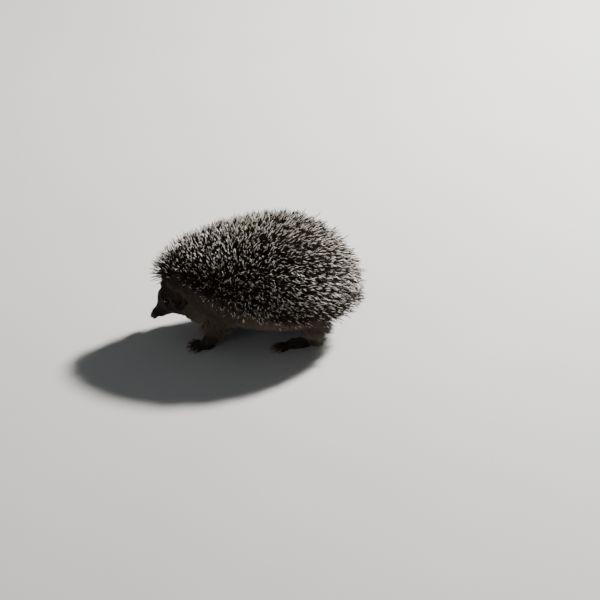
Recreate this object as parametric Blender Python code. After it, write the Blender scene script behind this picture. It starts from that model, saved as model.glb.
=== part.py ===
"""A European hedgehog at life size, foraging on four feet with its snout held close to the ground.

Units are metres and +Z is up. The animal faces -X and its left side is -Y. The origin lies on the floor
under the middle of its bounding box. Every solid reaches out to the tips of the spines or the fur, so the
solids together give the true outline. Neighbouring solids stay GAP apart.
"""

import math

import bmesh
import bpy
from mathutils import Matrix, Vector

# --- driving dimensions -------------------------------------------------------------------------------------
GAP = 0.0003
HALF_LENGTH = 0.1125

# The spiny mantle is an egg with its blunt end at the rump, open below the line of the skirt.
MANTLE_FRONT = -0.1105
MANTLE_GIRTH = 0.0655
MANTLE_TAPER = 0.0130
MANTLE_WIDTH_SHARE = 1.10
MANTLE_HEIGHT_SHARE = 0.985
MANTLE_AXIS_Z = 0.0712
MANTLE_RUMP_DROP = 0.0130
MANTLE_TAPER_END = 0.55
SKIRT_RUMP_Z = 0.0400
SKIRT_NECK_Z = 0.0680
SKIRT_RISE_FROM = 0.0550
SKIRT_RISE_TO = -0.0650
SKIRT_BROW_X = -0.1120
SKIRT_BROW_DROP = 0.0090
SKIRT_BROW_WIDTH = 0.0180
CUTTER_REACH = (0.130, 0.120, 0.200)

# The furry trunk under the mantle.
TRUNK_FRONT = -0.0740
TRUNK_BACK = 0.0980
TRUNK_HALF_WIDTH = 0.0590
TRUNK_AXIS_Z = 0.0500
TRUNK_DEPTH = 0.0310
TRUNK_HEIGHT = 0.0260
TRUNK_FULLNESS = 0.42
TRUNK_REAR_WIDENING = 0.04

# The head is a flared cone round an axis that points down and forward.
HEAD_PITCH = math.radians(45)
HEAD_LENGTH = 0.0560
HEAD_FLAT = 0.0045
NOSE_AXIS_Z = 0.0212
SNOUT_HALF_WIDTH = 0.0055
SNOUT_UP = 0.0052
SNOUT_DOWN = 0.0046
CHEEK_HALF_WIDTH = 0.0270
CROWN_UP = 0.0235
THROAT_DOWN = 0.0230
BROW_UP = 0.0050
BROW_BACK = 0.0240
BROW_SPREAD = 0.0110
NAPE_LENGTH = 0.0120
NAPE_TUCK = (0.90, 0.66)

NOSE_RADII = (0.0056, 0.0052, 0.0047)
NOSE_CENTRE_BACK = 0.0030
NOSTRIL_RADIUS = 0.0012
NOSTRIL_PLACE = (-0.0041, 0.0026, 0.0002)

JAW_FRONT = 0.0095
JAW_BACK = 0.0420
JAW_WIDTH_SHARE = 0.66
JAW_DROP_SHARE = 0.66
JAW_HEIGHT_SHARE = 0.52
JAW_END_SHARE = 0.06
JAW_FULLNESS = 0.45

EYE_RADIUS = 0.0031
EYE_BACK = 0.0290
EYE_SIDE = 0.0134
EYE_UP = 0.0068

EAR_CENTRE = (-0.0790, 0.0268, 0.0512)
EAR_HALF_WIDTH = 0.0076
EAR_HALF_HEIGHT = 0.0092
EAR_DEPTH = 0.0060
EAR_WALL = 0.0014
EAR_SHARES = (0.18, 0.46, 0.74, 1.0)
EAR_SIDES = 16
EAR_TURN = math.radians(28)
EAR_LEAN = math.radians(24)

NECK_CENTRE = (-0.0600, 0.0, 0.0440)
NECK_RADII = (0.0270, 0.0420, 0.0240)

# Limbs, as (height above the floor, how far behind the paw, how far out from the midline, radius).
FORE_LIMB = (
    (0.0440, 0.0150, 0.0310, 0.0150),
    (0.0250, 0.0095, 0.0335, 0.0112),
    (0.0095, 0.0040, 0.0340, 0.0080),
)
HIND_LIMB = (
    (0.0440, 0.0190, 0.0300, 0.0175),
    (0.0270, 0.0270, 0.0340, 0.0135),
    (0.0090, 0.0300, 0.0355, 0.0078),
)
FORE_PAW_X = (-0.0520, -0.0390)
HIND_PAW_X = (0.0330, 0.0200)
FORE_TURN = math.radians(8)
HIND_TURN = math.radians(14)
PALM_Z = 0.0035

FORE_PALM = (0.0080, 0.0082, 0.0062)
HIND_PALM = (0.0165, 0.0068, 0.0062)
HIND_PALM_BACK = 0.0125
HIND_PALM_FRONT = 0.0040
FORE_TOE_SPREAD = math.radians(21)
HIND_TOE_SPREAD = math.radians(15)
FORE_TOES = (0.0098, 0.0118, 0.0126, 0.0118, 0.0092)
HIND_TOES = (0.0088, 0.0118, 0.0124, 0.0116, 0.0086)
TOE_RADIUS = 0.0026
TOE_TIP_RADIUS = 0.0024
TOE_Z = 0.0022
TOE_ROOT = 0.0045
FORE_CLAW = 0.0066
HIND_CLAW = 0.0060
CLAW_RADIUS = 0.00125
CLAW_TIP_RADIUS = 0.00028
CLAW_TIP_Z = 0.0006
CLAW_BEND_SHARE = 0.60
CLAW_BEND_RADIUS_SHARE = 0.80
CLAW_ROOT_RISE = 0.0006
CLAW_BEND_RISE = 0.0003

TAIL_ROOT = (0.0800, 0.0, 0.0265)
TAIL_TIP = (0.0905, 0.0, 0.0212)
TAIL_RADII = (0.0044, 0.0026)

MANTLE_RINGS, MANTLE_SIDES = 24, 36
TRUNK_RINGS, TRUNK_SIDES = 14, 24
HEAD_RINGS, HEAD_SIDES = 14, 24
JAW_RINGS, JAW_SIDES = 8, 14
LIMB_RINGS, LIMB_SIDES = 5, 14
TOE_SIDES, CLAW_SIDES, CLAW_RINGS = 8, 6, 3
TAIL_SIDES, TAIL_RINGS = 12, 4
TOE_CAP, CLAW_CAP = (50,), (45,)
BALL, SMALL_BALL, TINY_BALL = (16, 10), (12, 8), (8, 5)
SKIRT_STEPS = 20
LEAST_MANTLE_SHARE = 0.0015
LEAST_TRUNK_SHARE = 0.0020
SHARP_EDGE = math.radians(40)


# --- mesh helpers -------------------------------------------------------------------------------------------
def material(name, colour, roughness):
    """A plain finish: a Principled BSDF with one colour and one roughness."""
    made = bpy.data.materials.new(name)
    made.use_nodes = True
    shader = made.node_tree.nodes["Principled BSDF"]
    shader.inputs["Base Color"].default_value = (*colour, 1.0)
    shader.inputs["Roughness"].default_value = roughness
    made.diffuse_color = (*colour, 1.0)
    return made


def object_from(name, mesh_in_edit):
    """Turns a bmesh into an object of that name, with its normals outwards and round faces shaded smooth."""
    bmesh.ops.recalc_face_normals(mesh_in_edit, faces=mesh_in_edit.faces)
    mesh = bpy.data.meshes.new(name)
    mesh_in_edit.to_mesh(mesh)
    mesh_in_edit.free()
    made = bpy.data.objects.new(name, mesh)
    bpy.context.scene.collection.objects.link(made)
    return made


def loft(name, rings):
    """A closed body through rings of points, each end closed by one face."""
    body = bmesh.new()
    loops = [[body.verts.new(point) for point in ring] for ring in rings]
    count = len(loops[0])
    for near, far in zip(loops, loops[1:]):
        for i in range(count):
            j = (i + 1) % count
            body.faces.new((near[i], near[j], far[j], far[i]))
    body.faces.new(loops[0])
    body.faces.new(reversed(loops[-1]))
    return object_from(name, body)


def ring(centre, side, up, half_width, rise, drop, sides):
    """An oval of points round centre: rise is its half height above the centre and drop the one below."""
    points = []
    for i in range(sides):
        angle = 2 * math.pi * i / sides
        height = math.sin(angle) * (rise if math.sin(angle) > 0 else drop)
        points.append(Vector(centre) + side * (half_width * math.cos(angle)) + up * height)
    return points


def ellipsoid(name, centre, radii, turn=None, grow=0.0, facets=BALL):
    """A ball stretched to three radii, turned by the rotation matrix turn and moved to centre."""
    body = bmesh.new()
    bmesh.ops.create_uvsphere(body, u_segments=facets[0], v_segments=facets[1], radius=1.0)
    scale = Matrix.Diagonal((*[r + grow for r in radii], 1.0))
    place = Matrix.Translation(centre) @ (turn.to_4x4() if turn else Matrix.Identity(4)) @ scale
    bmesh.ops.transform(body, matrix=place, verts=body.verts)
    return object_from(name, body)


def limb(name, points, radii, sides, rings, grow=0.0, cap_tilts=(66, 33)):
    """A round limb that swells and tapers along a line of points; cap_tilts round its ends, in degrees."""
    points = [Vector(p) for p in points]
    spans = len(points) - 1
    places = []
    for i in range(rings + 1):
        t = i / rings
        k = min(int(t * spans), spans - 1)
        share = t * spans - k
        radius = radii[k] + (radii[k + 1] - radii[k]) * share + grow
        places.append((points[k].lerp(points[k + 1], share), radius))
    loops = []
    across = (points[-1] - points[0]).normalized()
    side = across.cross(Vector((0, 0, 1)) if abs(across.z) < 0.9 else Vector((1, 0, 0))).normalized()
    up = side.cross(across)

    def round_loop(centre, radius):
        loops.append(ring(centre, side, up, radius, radius, radius, sides))

    first, first_radius = places[0]
    last, last_radius = places[-1]
    tilts = [math.radians(tilt) for tilt in cap_tilts]
    for tilt in tilts:
        round_loop(first - across * (first_radius * math.sin(tilt)), first_radius * math.cos(tilt))
    for centre, radius in places:
        round_loop(centre, radius)
    for tilt in reversed(tilts):
        round_loop(last + across * (last_radius * math.sin(tilt)), last_radius * math.cos(tilt))
    return loft(name, loops)


def boolean(target, cutter, operation="DIFFERENCE"):
    """Joins cutter to target, or cuts it away, and removes the cutter."""
    modifier = target.modifiers.new("shape", "BOOLEAN")
    modifier.operation = operation
    modifier.object = cutter
    bpy.context.view_layer.update()
    graph = bpy.context.evaluated_depsgraph_get()
    target.data = bpy.data.meshes.new_from_object(target.evaluated_get(graph))
    target.modifiers.clear()
    bpy.data.objects.remove(cutter)
    return target


def cut_floor(target):
    """Cuts the part below the floor away, which leaves a flat sole at height 0."""
    body = bmesh.new()
    body.from_mesh(target.data)
    geometry = list(body.verts) + list(body.edges) + list(body.faces)
    bmesh.ops.bisect_plane(
        body, geom=geometry, dist=1e-7, plane_co=(0, 0, 0), plane_no=(0, 0, 1), clear_inner=True
    )
    bmesh.ops.holes_fill(body, edges=[e for e in body.edges if e.is_boundary])
    body.to_mesh(target.data)
    body.free()
    return target


def smoothstep(t):
    t = min(max(t, 0.0), 1.0)
    return t * t * (3 - 2 * t)


# --- mantle and trunk ---------------------------------------------------------------------------------------
def skirt_z(x):
    """Height of the mantle's lower edge, which rises from the rump to the neck and dips on the brow."""
    rise = smoothstep((SKIRT_RISE_FROM - x) / (SKIRT_RISE_FROM - SKIRT_RISE_TO))
    dip = SKIRT_BROW_DROP * math.exp(-(((x - SKIRT_BROW_X) / SKIRT_BROW_WIDTH) ** 2))
    return SKIRT_RUMP_Z + (SKIRT_NECK_Z - SKIRT_RUMP_Z) * rise - dip


def skirt_prism(name, shift, reach):
    """A block with its edge along the skirt line moved by shift; it reaches up or down from there."""
    body = bmesh.new()
    far_x, far_y, _ = CUTTER_REACH
    edge = []
    for i in range(SKIRT_STEPS + 1):
        x = far_x * (2 * i / SKIRT_STEPS - 1)
        edge.append((x, skirt_z(x) + shift))
    outline = edge + [(far_x, reach), (-far_x, reach)]
    near = [body.verts.new((x, -far_y, z)) for x, z in outline]
    far = [body.verts.new((x, far_y, z)) for x, z in outline]
    body.faces.new(near)
    body.faces.new(reversed(far))
    for i in range(len(outline)):
        j = (i + 1) % len(outline)
        body.faces.new((near[i], far[i], far[j], near[j]))
    return object_from(name, body)


def cut_above_skirt(target):
    """Cuts away what would reach up into the mantle."""
    return boolean(target, skirt_prism("above_skirt", -GAP, CUTTER_REACH[2]))


def stations_along(count):
    """Places from -1 to 1 that crowd towards both ends, so that a round end gets more rings."""
    return [-math.cos(math.pi * i / count) for i in range(count + 1)]


def make_mantle():
    middle = (HALF_LENGTH + MANTLE_FRONT) / 2
    half = (HALF_LENGTH - MANTLE_FRONT) / 2
    rings = []
    for u in stations_along(MANTLE_RINGS):
        share = math.sqrt(max(1 - u * u, LEAST_MANTLE_SHARE))
        girth = share * (MANTLE_GIRTH + MANTLE_TAPER * min(u, MANTLE_TAPER_END))
        axis_z = MANTLE_AXIS_Z - MANTLE_RUMP_DROP * max(u, 0.0) ** 2
        height = girth * MANTLE_HEIGHT_SHARE
        width = girth * MANTLE_WIDTH_SHARE
        centre = (middle + half * u, 0, axis_z)
        rings.append(ring(centre, Vector((0, 1, 0)), Vector((0, 0, 1)), width, height, height, MANTLE_SIDES))
    return boolean(loft("mantle", rings), skirt_prism("below_skirt", 0.0, -CUTTER_REACH[2]))


def trunk_shape(name, grow=0.0):
    middle = (TRUNK_BACK + TRUNK_FRONT) / 2
    half = (TRUNK_BACK - TRUNK_FRONT) / 2 + grow
    rings = []
    for u in stations_along(TRUNK_RINGS):
        share = max(1 - u * u, LEAST_TRUNK_SHARE) ** TRUNK_FULLNESS
        centre = (middle + half * u, 0, TRUNK_AXIS_Z)
        width = TRUNK_HALF_WIDTH * share * (1 + TRUNK_REAR_WIDENING * u) + grow
        rings.append(
            ring(
                centre, Vector((0, 1, 0)), Vector((0, 0, 1)),
                width, TRUNK_HEIGHT * share + grow, TRUNK_DEPTH * share + grow, TRUNK_SIDES,
            )
        )
    return loft(name, rings)


def neck_shape(name, grow=0.0):
    return ellipsoid(name, NECK_CENTRE, NECK_RADII, grow=grow)


# --- head ---------------------------------------------------------------------------------------------------
BACKWARD = Vector((math.cos(HEAD_PITCH), 0, math.sin(HEAD_PITCH)))
CROWNWARD = Vector((-math.sin(HEAD_PITCH), 0, math.cos(HEAD_PITCH)))
SIDEWARD = Vector((0, 1, 0))
HEAD_TURN = Matrix((BACKWARD, SIDEWARD, CROWNWARD)).transposed()
# The nose pad's ball, turned by the pitch, reaches this far forward of its centre.
NOSE_REACH = math.hypot(NOSE_RADII[0] * math.cos(HEAD_PITCH), NOSE_RADII[2] * math.sin(HEAD_PITCH))
NOSE_CENTRE = Vector((NOSE_REACH - HALF_LENGTH, 0, NOSE_AXIS_Z))
SNOUT_TIP = NOSE_CENTRE - BACKWARD * NOSE_CENTRE_BACK


def head_place(back, side=0.0, up=0.0):
    """A place on the head: back from the snout tip, to one side, and up towards the crown."""
    return SNOUT_TIP + BACKWARD * back + SIDEWARD * side + CROWNWARD * up


def head_section(back):
    """Half width, rise and drop of the head's section there."""
    flare = smoothstep(back / HEAD_LENGTH)
    brow = BROW_UP * math.exp(-(((back - BROW_BACK) / BROW_SPREAD) ** 2))
    return (
        SNOUT_HALF_WIDTH + (CHEEK_HALF_WIDTH - SNOUT_HALF_WIDTH) * flare,
        SNOUT_UP + (CROWN_UP - SNOUT_UP) * flare + brow,
        SNOUT_DOWN + (THROAT_DOWN - SNOUT_DOWN) * flare,
    )


def head_shape(name, front=HEAD_FLAT, grow=0.0):
    rings = []
    back_end = HEAD_LENGTH + NAPE_LENGTH
    for i in range(HEAD_RINGS + 1):
        back = front - grow + (back_end + 2 * grow - front) * i / HEAD_RINGS
        width, rise, drop = (size + grow for size in head_section(back))
        tuck = 1.0 if i < HEAD_RINGS - 1 else NAPE_TUCK[i - HEAD_RINGS + 1]
        rings.append(
            ring(head_place(back), SIDEWARD, CROWNWARD, width * tuck, rise * tuck, drop * tuck, HEAD_SIDES)
        )
    return loft(name, rings)


def jaw_shape(name, grow=0.0):
    rings = []
    for i in range(JAW_RINGS + 1):
        t = i / JAW_RINGS
        back = JAW_FRONT - grow + (JAW_BACK - JAW_FRONT + 2 * grow) * t
        width, _, drop = head_section(back)
        swell = math.sin(math.pi * (JAW_END_SHARE + (1 - 2 * JAW_END_SHARE) * t)) ** JAW_FULLNESS
        rings.append(
            ring(
                head_place(back, up=-drop * JAW_DROP_SHARE), SIDEWARD, CROWNWARD,
                width * JAW_WIDTH_SHARE * swell + grow,
                drop * JAW_HEIGHT_SHARE * swell + grow,
                drop * JAW_HEIGHT_SHARE * swell + grow,
                JAW_SIDES,
            )
        )
    return loft(name, rings)


def eye_centre(sign):
    return head_place(EYE_BACK, sign * EYE_SIDE, EYE_UP)


def eye_ball(name, sign, grow=0.0):
    return ellipsoid(name, eye_centre(sign), (EYE_RADIUS,) * 3, grow=grow, facets=SMALL_BALL)


def make_head():
    head = head_shape("head")
    boolean(head, jaw_shape("mouth", GAP))
    for sign in (-1, 1):
        boolean(head, eye_ball("socket", sign, GAP))
    return cut_above_skirt(head)


def make_nose():
    nose = ellipsoid("nose", NOSE_CENTRE, NOSE_RADII, HEAD_TURN, facets=SMALL_BALL)
    back, side, up = NOSTRIL_PLACE
    for sign in (-1, 1):
        place = NOSE_CENTRE + HEAD_TURN @ Vector((back, sign * side, up))
        boolean(nose, ellipsoid("nostril", place, (NOSTRIL_RADIUS,) * 3, facets=TINY_BALL))
    return boolean(nose, head_shape("snout", grow=GAP))


def ear_shape(name, sign, hollow, grow=0.0):
    """An ear that opens forwards and outwards: a thin cup, or the whole of its room when not hollow."""
    turn = Matrix.Rotation(sign * (math.pi / 2 + EAR_TURN), 3, "Z") @ Matrix.Rotation(-EAR_LEAN, 3, "Y")
    opening, side, up = (turn @ Vector(axis) for axis in ((1, 0, 0), (0, 1, 0), (0, 0, 1)))
    rim = Vector((EAR_CENTRE[0], sign * EAR_CENTRE[1], EAR_CENTRE[2])) + opening * (EAR_DEPTH / 2)
    walls = [(-grow, EAR_SHARES)]
    if hollow:
        walls.append((EAR_WALL, tuple(reversed(EAR_SHARES))))
    rings = []
    for wall, shares in walls:
        for share in shares:
            angle = share * math.pi / 2
            width = (EAR_HALF_WIDTH - wall) * math.sin(angle)
            height = (EAR_HALF_HEIGHT - wall) * math.sin(angle)
            at = rim - opening * ((EAR_DEPTH - wall) * math.cos(angle))
            rings.append(ring(at, side, up, width, height, height, EAR_SIDES))
    if not hollow:
        rings.append([point + opening * grow for point in rings[-1]])
    return loft(name, rings)


def make_ear(name, sign):
    ear = ear_shape(name, sign, hollow=True)
    boolean(ear, head_shape("skull", grow=GAP))
    return cut_above_skirt(ear)


# --- limbs --------------------------------------------------------------------------------------------------
def toe_line(paw, side_sign, palm_front, spread, lengths, index, turn):
    """Root and tip of a toe, fanned out from the front of the palm."""
    angle = (index - 2) * spread * side_sign + turn * side_sign
    forward = Vector((-math.cos(angle), math.sin(angle), 0))
    root = paw + Vector((-palm_front + TOE_ROOT, 0, 0)) + Vector((0, math.sin(angle) * TOE_ROOT, 0))
    root.z = TOE_Z
    return root, root + forward * lengths[index], forward


def toe_shape(root, tip, grow=0.0):
    return limb("toe", (root, tip), (TOE_RADIUS, TOE_TIP_RADIUS), TOE_SIDES, 1, grow, TOE_CAP)


def make_leg_set(place, side, fore):
    """One leg with its paw and five claws. side is -1 for the animal's left and +1 for its right."""
    paw_x = (FORE_PAW_X if fore else HIND_PAW_X)[0 if side < 0 else 1]
    stations = FORE_LIMB if fore else HIND_LIMB
    turn = FORE_TURN if fore else HIND_TURN
    palm_radii = FORE_PALM if fore else HIND_PALM
    palm_back = 0.0 if fore else HIND_PALM_BACK
    palm_front = FORE_PALM[0] if fore else HIND_PALM_FRONT
    spread = FORE_TOE_SPREAD if fore else HIND_TOE_SPREAD
    lengths = FORE_TOES if fore else HIND_TOES
    claw_length = FORE_CLAW if fore else HIND_CLAW
    paw = Vector((paw_x, side * stations[-1][2], PALM_Z))
    yaw = Matrix.Rotation(-side * turn, 3, "Z")
    palm_centre = paw + yaw @ Vector((palm_back, 0, 0))

    def palm(name, grow=0.0):
        return ellipsoid(name, palm_centre, palm_radii, yaw, grow, SMALL_BALL)

    foot = palm("paw_" + place)
    toes = [toe_line(paw, side, palm_front, spread, lengths, i, turn) for i in range(len(lengths))]
    for root, tip, _ in toes:
        boolean(foot, toe_shape(root, tip), "UNION")
    cut_floor(foot)

    points = [(paw_x + back, side * out, height) for height, back, out, _ in stations]
    leg = limb("leg_" + place, points, [radius for *_, radius in stations], LIMB_SIDES, LIMB_RINGS)
    boolean(leg, trunk_shape("belly", GAP))
    if fore:
        boolean(leg, neck_shape("throat", GAP))
    cut_above_skirt(leg)
    boolean(leg, palm("wrist", GAP))

    claws = []
    for i, (root, tip, forward) in enumerate(toes):
        start = tip + Vector((0, 0, CLAW_ROOT_RISE))
        middle = start + forward * (claw_length * CLAW_BEND_SHARE) + Vector((0, 0, CLAW_BEND_RISE))
        end = start + forward * claw_length
        end.z = CLAW_TIP_Z + CLAW_TIP_RADIUS
        claw = limb(
            f"claw_{place}_{i + 1}", (start, middle, end),
            (CLAW_RADIUS, CLAW_RADIUS * CLAW_BEND_RADIUS_SHARE, CLAW_TIP_RADIUS),
            CLAW_SIDES, CLAW_RINGS, cap_tilts=CLAW_CAP,
        )
        boolean(claw, toe_shape(root, tip, GAP))
        claws.append(claw)
    return leg, foot, claws


# --- the animal ---------------------------------------------------------------------------------------------
def main():
    for old in list(bpy.data.objects):
        bpy.data.objects.remove(old)

    spines = material("spines", (0.20, 0.165, 0.13), 0.55)
    fur = material("fur", (0.27, 0.22, 0.16), 0.85)
    dark_fur = material("dark_fur", (0.085, 0.065, 0.05), 0.85)
    wet_nose = material("wet_nose", (0.012, 0.011, 0.011), 0.25)
    eye_gloss = material("eye_gloss", (0.004, 0.003, 0.003), 0.05)
    ear_skin = material("ear_skin", (0.19, 0.14, 0.11), 0.7)
    claw_horn = material("claw_horn", (0.10, 0.075, 0.055), 0.4)

    dressed = [(make_mantle(), spines)]
    trunk = trunk_shape("trunk")
    cut_above_skirt(trunk)
    boolean(trunk, head_shape("skull", grow=GAP))
    dressed.append((trunk, fur))
    dressed.append((make_head(), fur))
    dressed.append((make_nose(), wet_nose))

    dressed.append((jaw_shape("jaw"), fur))

    neck = neck_shape("neck")
    cut_above_skirt(neck)
    boolean(neck, head_shape("skull", grow=GAP))
    boolean(neck, jaw_shape("chin", GAP))
    boolean(neck, trunk_shape("chest", GAP))
    for body in (trunk, neck):
        for sign in (-1, 1):
            boolean(body, ear_shape("ear_base", sign, hollow=False, grow=GAP))
    dressed.append((neck, fur))

    for side_name, sign in (("left", -1), ("right", 1)):
        dressed.append((eye_ball("eye_" + side_name, sign), eye_gloss))
        dressed.append((make_ear("ear_" + side_name, sign), ear_skin))

    tail = limb("tail", (TAIL_ROOT, TAIL_TIP), TAIL_RADII, TAIL_SIDES, TAIL_RINGS)
    boolean(tail, trunk_shape("rump", GAP))
    dressed.append((cut_above_skirt(tail), dark_fur))

    for side_name, sign in (("left", -1), ("right", 1)):
        for end_name, fore in (("front", True), ("hind", False)):
            leg, paw, claws = make_leg_set(f"{end_name}_{side_name}", sign, fore)
            dressed.append((leg, dark_fur))
            dressed.append((paw, dark_fur))
            dressed.extend((claw, claw_horn) for claw in claws)

    for part, finish in dressed:
        part.data.materials.clear()
        part.data.materials.append(finish)
        part.data.shade_smooth()
        part.data.set_sharp_from_angle(angle=SHARP_EDGE)


main()
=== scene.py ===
"""A European hedgehog as a life-size model: one skin, banded spines, fur, eyes, nose and claws.

Metres, +Z up, the animal faces -X and its left side is -Y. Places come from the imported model's boxes.
"""

import math
from types import SimpleNamespace

import bpy
import numpy as np
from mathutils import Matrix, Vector


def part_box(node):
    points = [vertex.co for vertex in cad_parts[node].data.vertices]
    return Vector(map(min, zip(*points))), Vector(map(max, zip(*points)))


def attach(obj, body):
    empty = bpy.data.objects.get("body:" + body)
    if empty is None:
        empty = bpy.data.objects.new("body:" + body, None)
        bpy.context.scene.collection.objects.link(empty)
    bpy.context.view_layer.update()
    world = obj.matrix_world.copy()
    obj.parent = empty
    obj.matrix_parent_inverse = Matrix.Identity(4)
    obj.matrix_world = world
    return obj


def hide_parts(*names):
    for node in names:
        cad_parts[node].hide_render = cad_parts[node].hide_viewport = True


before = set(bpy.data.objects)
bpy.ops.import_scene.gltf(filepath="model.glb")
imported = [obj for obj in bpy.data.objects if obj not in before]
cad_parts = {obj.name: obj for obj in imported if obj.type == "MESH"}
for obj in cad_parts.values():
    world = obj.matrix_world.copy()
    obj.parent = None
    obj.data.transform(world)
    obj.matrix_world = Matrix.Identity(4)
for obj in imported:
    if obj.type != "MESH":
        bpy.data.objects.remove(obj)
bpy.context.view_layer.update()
GRAIN = 1.0
SIDES = (("left", -1), ("right", 1))
UP = np.array((0.0, 0.0, 1.0))
ASIDE = np.array((0.0, 1.0, 0.0))


def middle_of(node):
    low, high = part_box(node)
    return np.array([(a + b) / 2 for a, b in zip(low, high)])


# --- the body's measures
MANTLE_LOW, MANTLE_HIGH = (np.array(corner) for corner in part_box("mantle"))
MANTLE_MIDDLE_X = (MANTLE_LOW[0] + MANTLE_HIGH[0]) / 2
MANTLE_HALF = (MANTLE_HIGH[0] - MANTLE_LOW[0]) / 2
MANTLE_GIRTH, MANTLE_TAPER, MANTLE_FULL_AT = 0.0655, 0.0130, 0.55
MANTLE_WIDTH_SHARE, MANTLE_HEIGHT_SHARE = 1.10, 0.985
MANTLE_AXIS_Z, MANTLE_RUMP_DROP = 0.0712, 0.0130
SPINE_DEPTH, SPINE_ROOT = 0.0140, 0.0010
SKIRT_RUMP_Z, SKIRT_NECK_Z = 0.0400, 0.0680
SKIRT_RISE_FROM, SKIRT_RISE_TO = 0.0550, -0.0650
SKIRT_BROW_X, SKIRT_BROW_DROP, SKIRT_BROW_WIDTH = -0.1120, 0.0090, 0.0180
CHEEK_RISE, CHEEK_RISE_X, CHEEK_RISE_WIDTH = 0.0085, -0.0810, 0.0150

TRUNK = (np.array((0.0120, 0.0, 0.0500)), (0.0800, 0.0530, 0.0250))
NECK = (np.array((-0.0600, 0.0, 0.0440)), (0.0230, 0.0365, 0.0190))
TAIL = (np.array((0.0800, 0.0, 0.0265)), np.array((0.0905, 0.0, 0.0212)), 0.0036, 0.0020)

HEAD_PITCH = math.radians(45)
BACKWARD = np.array((math.cos(HEAD_PITCH), 0.0, math.sin(HEAD_PITCH)))
CROWNWARD = np.array((-math.sin(HEAD_PITCH), 0.0, math.cos(HEAD_PITCH)))
NOSE_MIDDLE = middle_of("nose")
SNOUT_TIP = NOSE_MIDDLE - BACKWARD * 0.0024
HEAD_LENGTH = 0.0560
MOUTH_STATIONS = (0.0030, 0.0075, 0.0130, 0.0190, 0.0245)
EYE_RADIUS = 0.0031
EYEBALL = EYE_RADIUS + 0.0002
EYES = {name: middle_of("eye_" + name) for name, _ in SIDES}

# Swellings of the face: how far back, aside and up from the snout tip, radii, and how softly they melt in.
CHEEK = ((0.0350, 0.0125, -0.0040), (0.0120, 0.0080, 0.0080), 0.0080)
BROW = ((0.0345, 0.0098, 0.0105), (0.0070, 0.0050, 0.0050), 0.0060)
LIP = ((0.0080, 0.0029, -0.0012), (0.0044, 0.0026, 0.0026), 0.0024)

EAR_CENTRE = np.array((-0.0790, 0.0268, 0.0512))
EAR_RADII = np.array((0.0060, 0.0076, 0.0092))
EAR_WALL = 0.0014
EAR_TURN, EAR_LEAN = math.radians(28), math.radians(24)
EAR_CANAL_BACK, EAR_CANAL_DROP, EAR_CANAL_RADIUS = 0.0048, 0.0015, 0.0024
# The ridge in the cup: how far in from the rim, how far forwards and how far up each of its points is.
EAR_RIDGE = ((0.0034, -0.0012, -0.0052), (0.0030, -0.0034, 0.0002), (0.0026, -0.0014, 0.0056))

TOE_RADIUS, TOE_Z, TOE_ROOT = 0.0023, 0.0022, 0.0045
PAW_Z = 0.0035
CLAW_RADIUS, CLAW_TIP_RADIUS, CLAW_TIP_Z = 0.00125, 0.00028, 0.0006
CLAW_ROOT_RISE, CLAW_ARCH = 0.0006, 0.0007
HIND_PALM_BACK, HIND_TURN = 0.0125, math.radians(14)
# A limb's stations are (height, distance behind the paw's middle, distance out, radius), from the top down.
# heel and palm_back lie behind the paw's middle and toes_ahead before it; foot_back and plan_back are the
# middles of the foot's coat and of its room on the flat plan.
LIMBS = {
    "front": dict(
        stations=(
            (0.0440, 0.0150, 0.0310, 0.0125), (0.0250, 0.0095, 0.0335, 0.0092),
            (0.0095, 0.0040, 0.0340, 0.0064),
        ),
        palm=(0.0078, 0.0078, 0.0055), palm_back=0.0, heel=0.0078, turn=math.radians(8), toes_ahead=0.0078,
        toes=(0.0098, 0.0118, 0.0126, 0.0118, 0.0092), spread=math.radians(21), claw=0.0066,
        foot_back=0.0, plan_back=0.002,
    ),
    "hind": dict(
        stations=(
            (0.0440, 0.0190, 0.0300, 0.0150), (0.0270, 0.0270, 0.0340, 0.0112),
            (0.0090, 0.0300, 0.0355, 0.0062),
        ),
        palm=(0.0160, 0.0064, 0.0055), palm_back=HIND_PALM_BACK, turn=HIND_TURN, toes_ahead=0.0040,
        heel=HIND_PALM_BACK + 0.0160 * math.cos(HIND_TURN),
        toes=(0.0088, 0.0118, 0.0124, 0.0116, 0.0086), spread=math.radians(15), claw=0.0060,
        foot_back=0.006, plan_back=0.010,
    ),
}


def leg_at(end, name, sign):
    """A limb's measures, with the middle and the turn of its paw, from the paw's box."""
    leg = SimpleNamespace(**LIMBS[end], name=f"{end}_{name}", sign=sign)
    heel_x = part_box("paw_" + leg.name)[1][0]
    leg.paw = np.array((heel_x - leg.heel, sign * leg.stations[-1][2], PAW_Z))
    leg.turn *= sign
    return leg


LEGS = [leg_at(end, name, sign) for name, sign in SIDES for end in ("front", "hind")]


def smoothstep(t):
    t = np.clip(t, 0.0, 1.0)
    return t * t * (3 - 2 * t)


def above(values, start, width):
    """0 up to start, 1 from width beyond it, and smooth between."""
    return smoothstep((values - start) / width)


def below(values, end, width):
    """0 from end on, 1 from width short of it, and smooth between."""
    return smoothstep((end - values) / width)


def unit(v):
    return v / np.maximum(np.linalg.norm(v, axis=-1, keepdims=True), 1e-9)


def pairs(line):
    return zip(line, line[1:])


def skirt_z(x):
    """Height of the spines' lower edge."""
    rise = below(x, SKIRT_RISE_FROM, SKIRT_RISE_FROM - SKIRT_RISE_TO)
    dip = SKIRT_BROW_DROP * np.exp(-(((x - SKIRT_BROW_X) / SKIRT_BROW_WIDTH) ** 2))
    return SKIRT_RUMP_Z + (SKIRT_NECK_Z - SKIRT_RUMP_Z) * rise - dip


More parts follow.
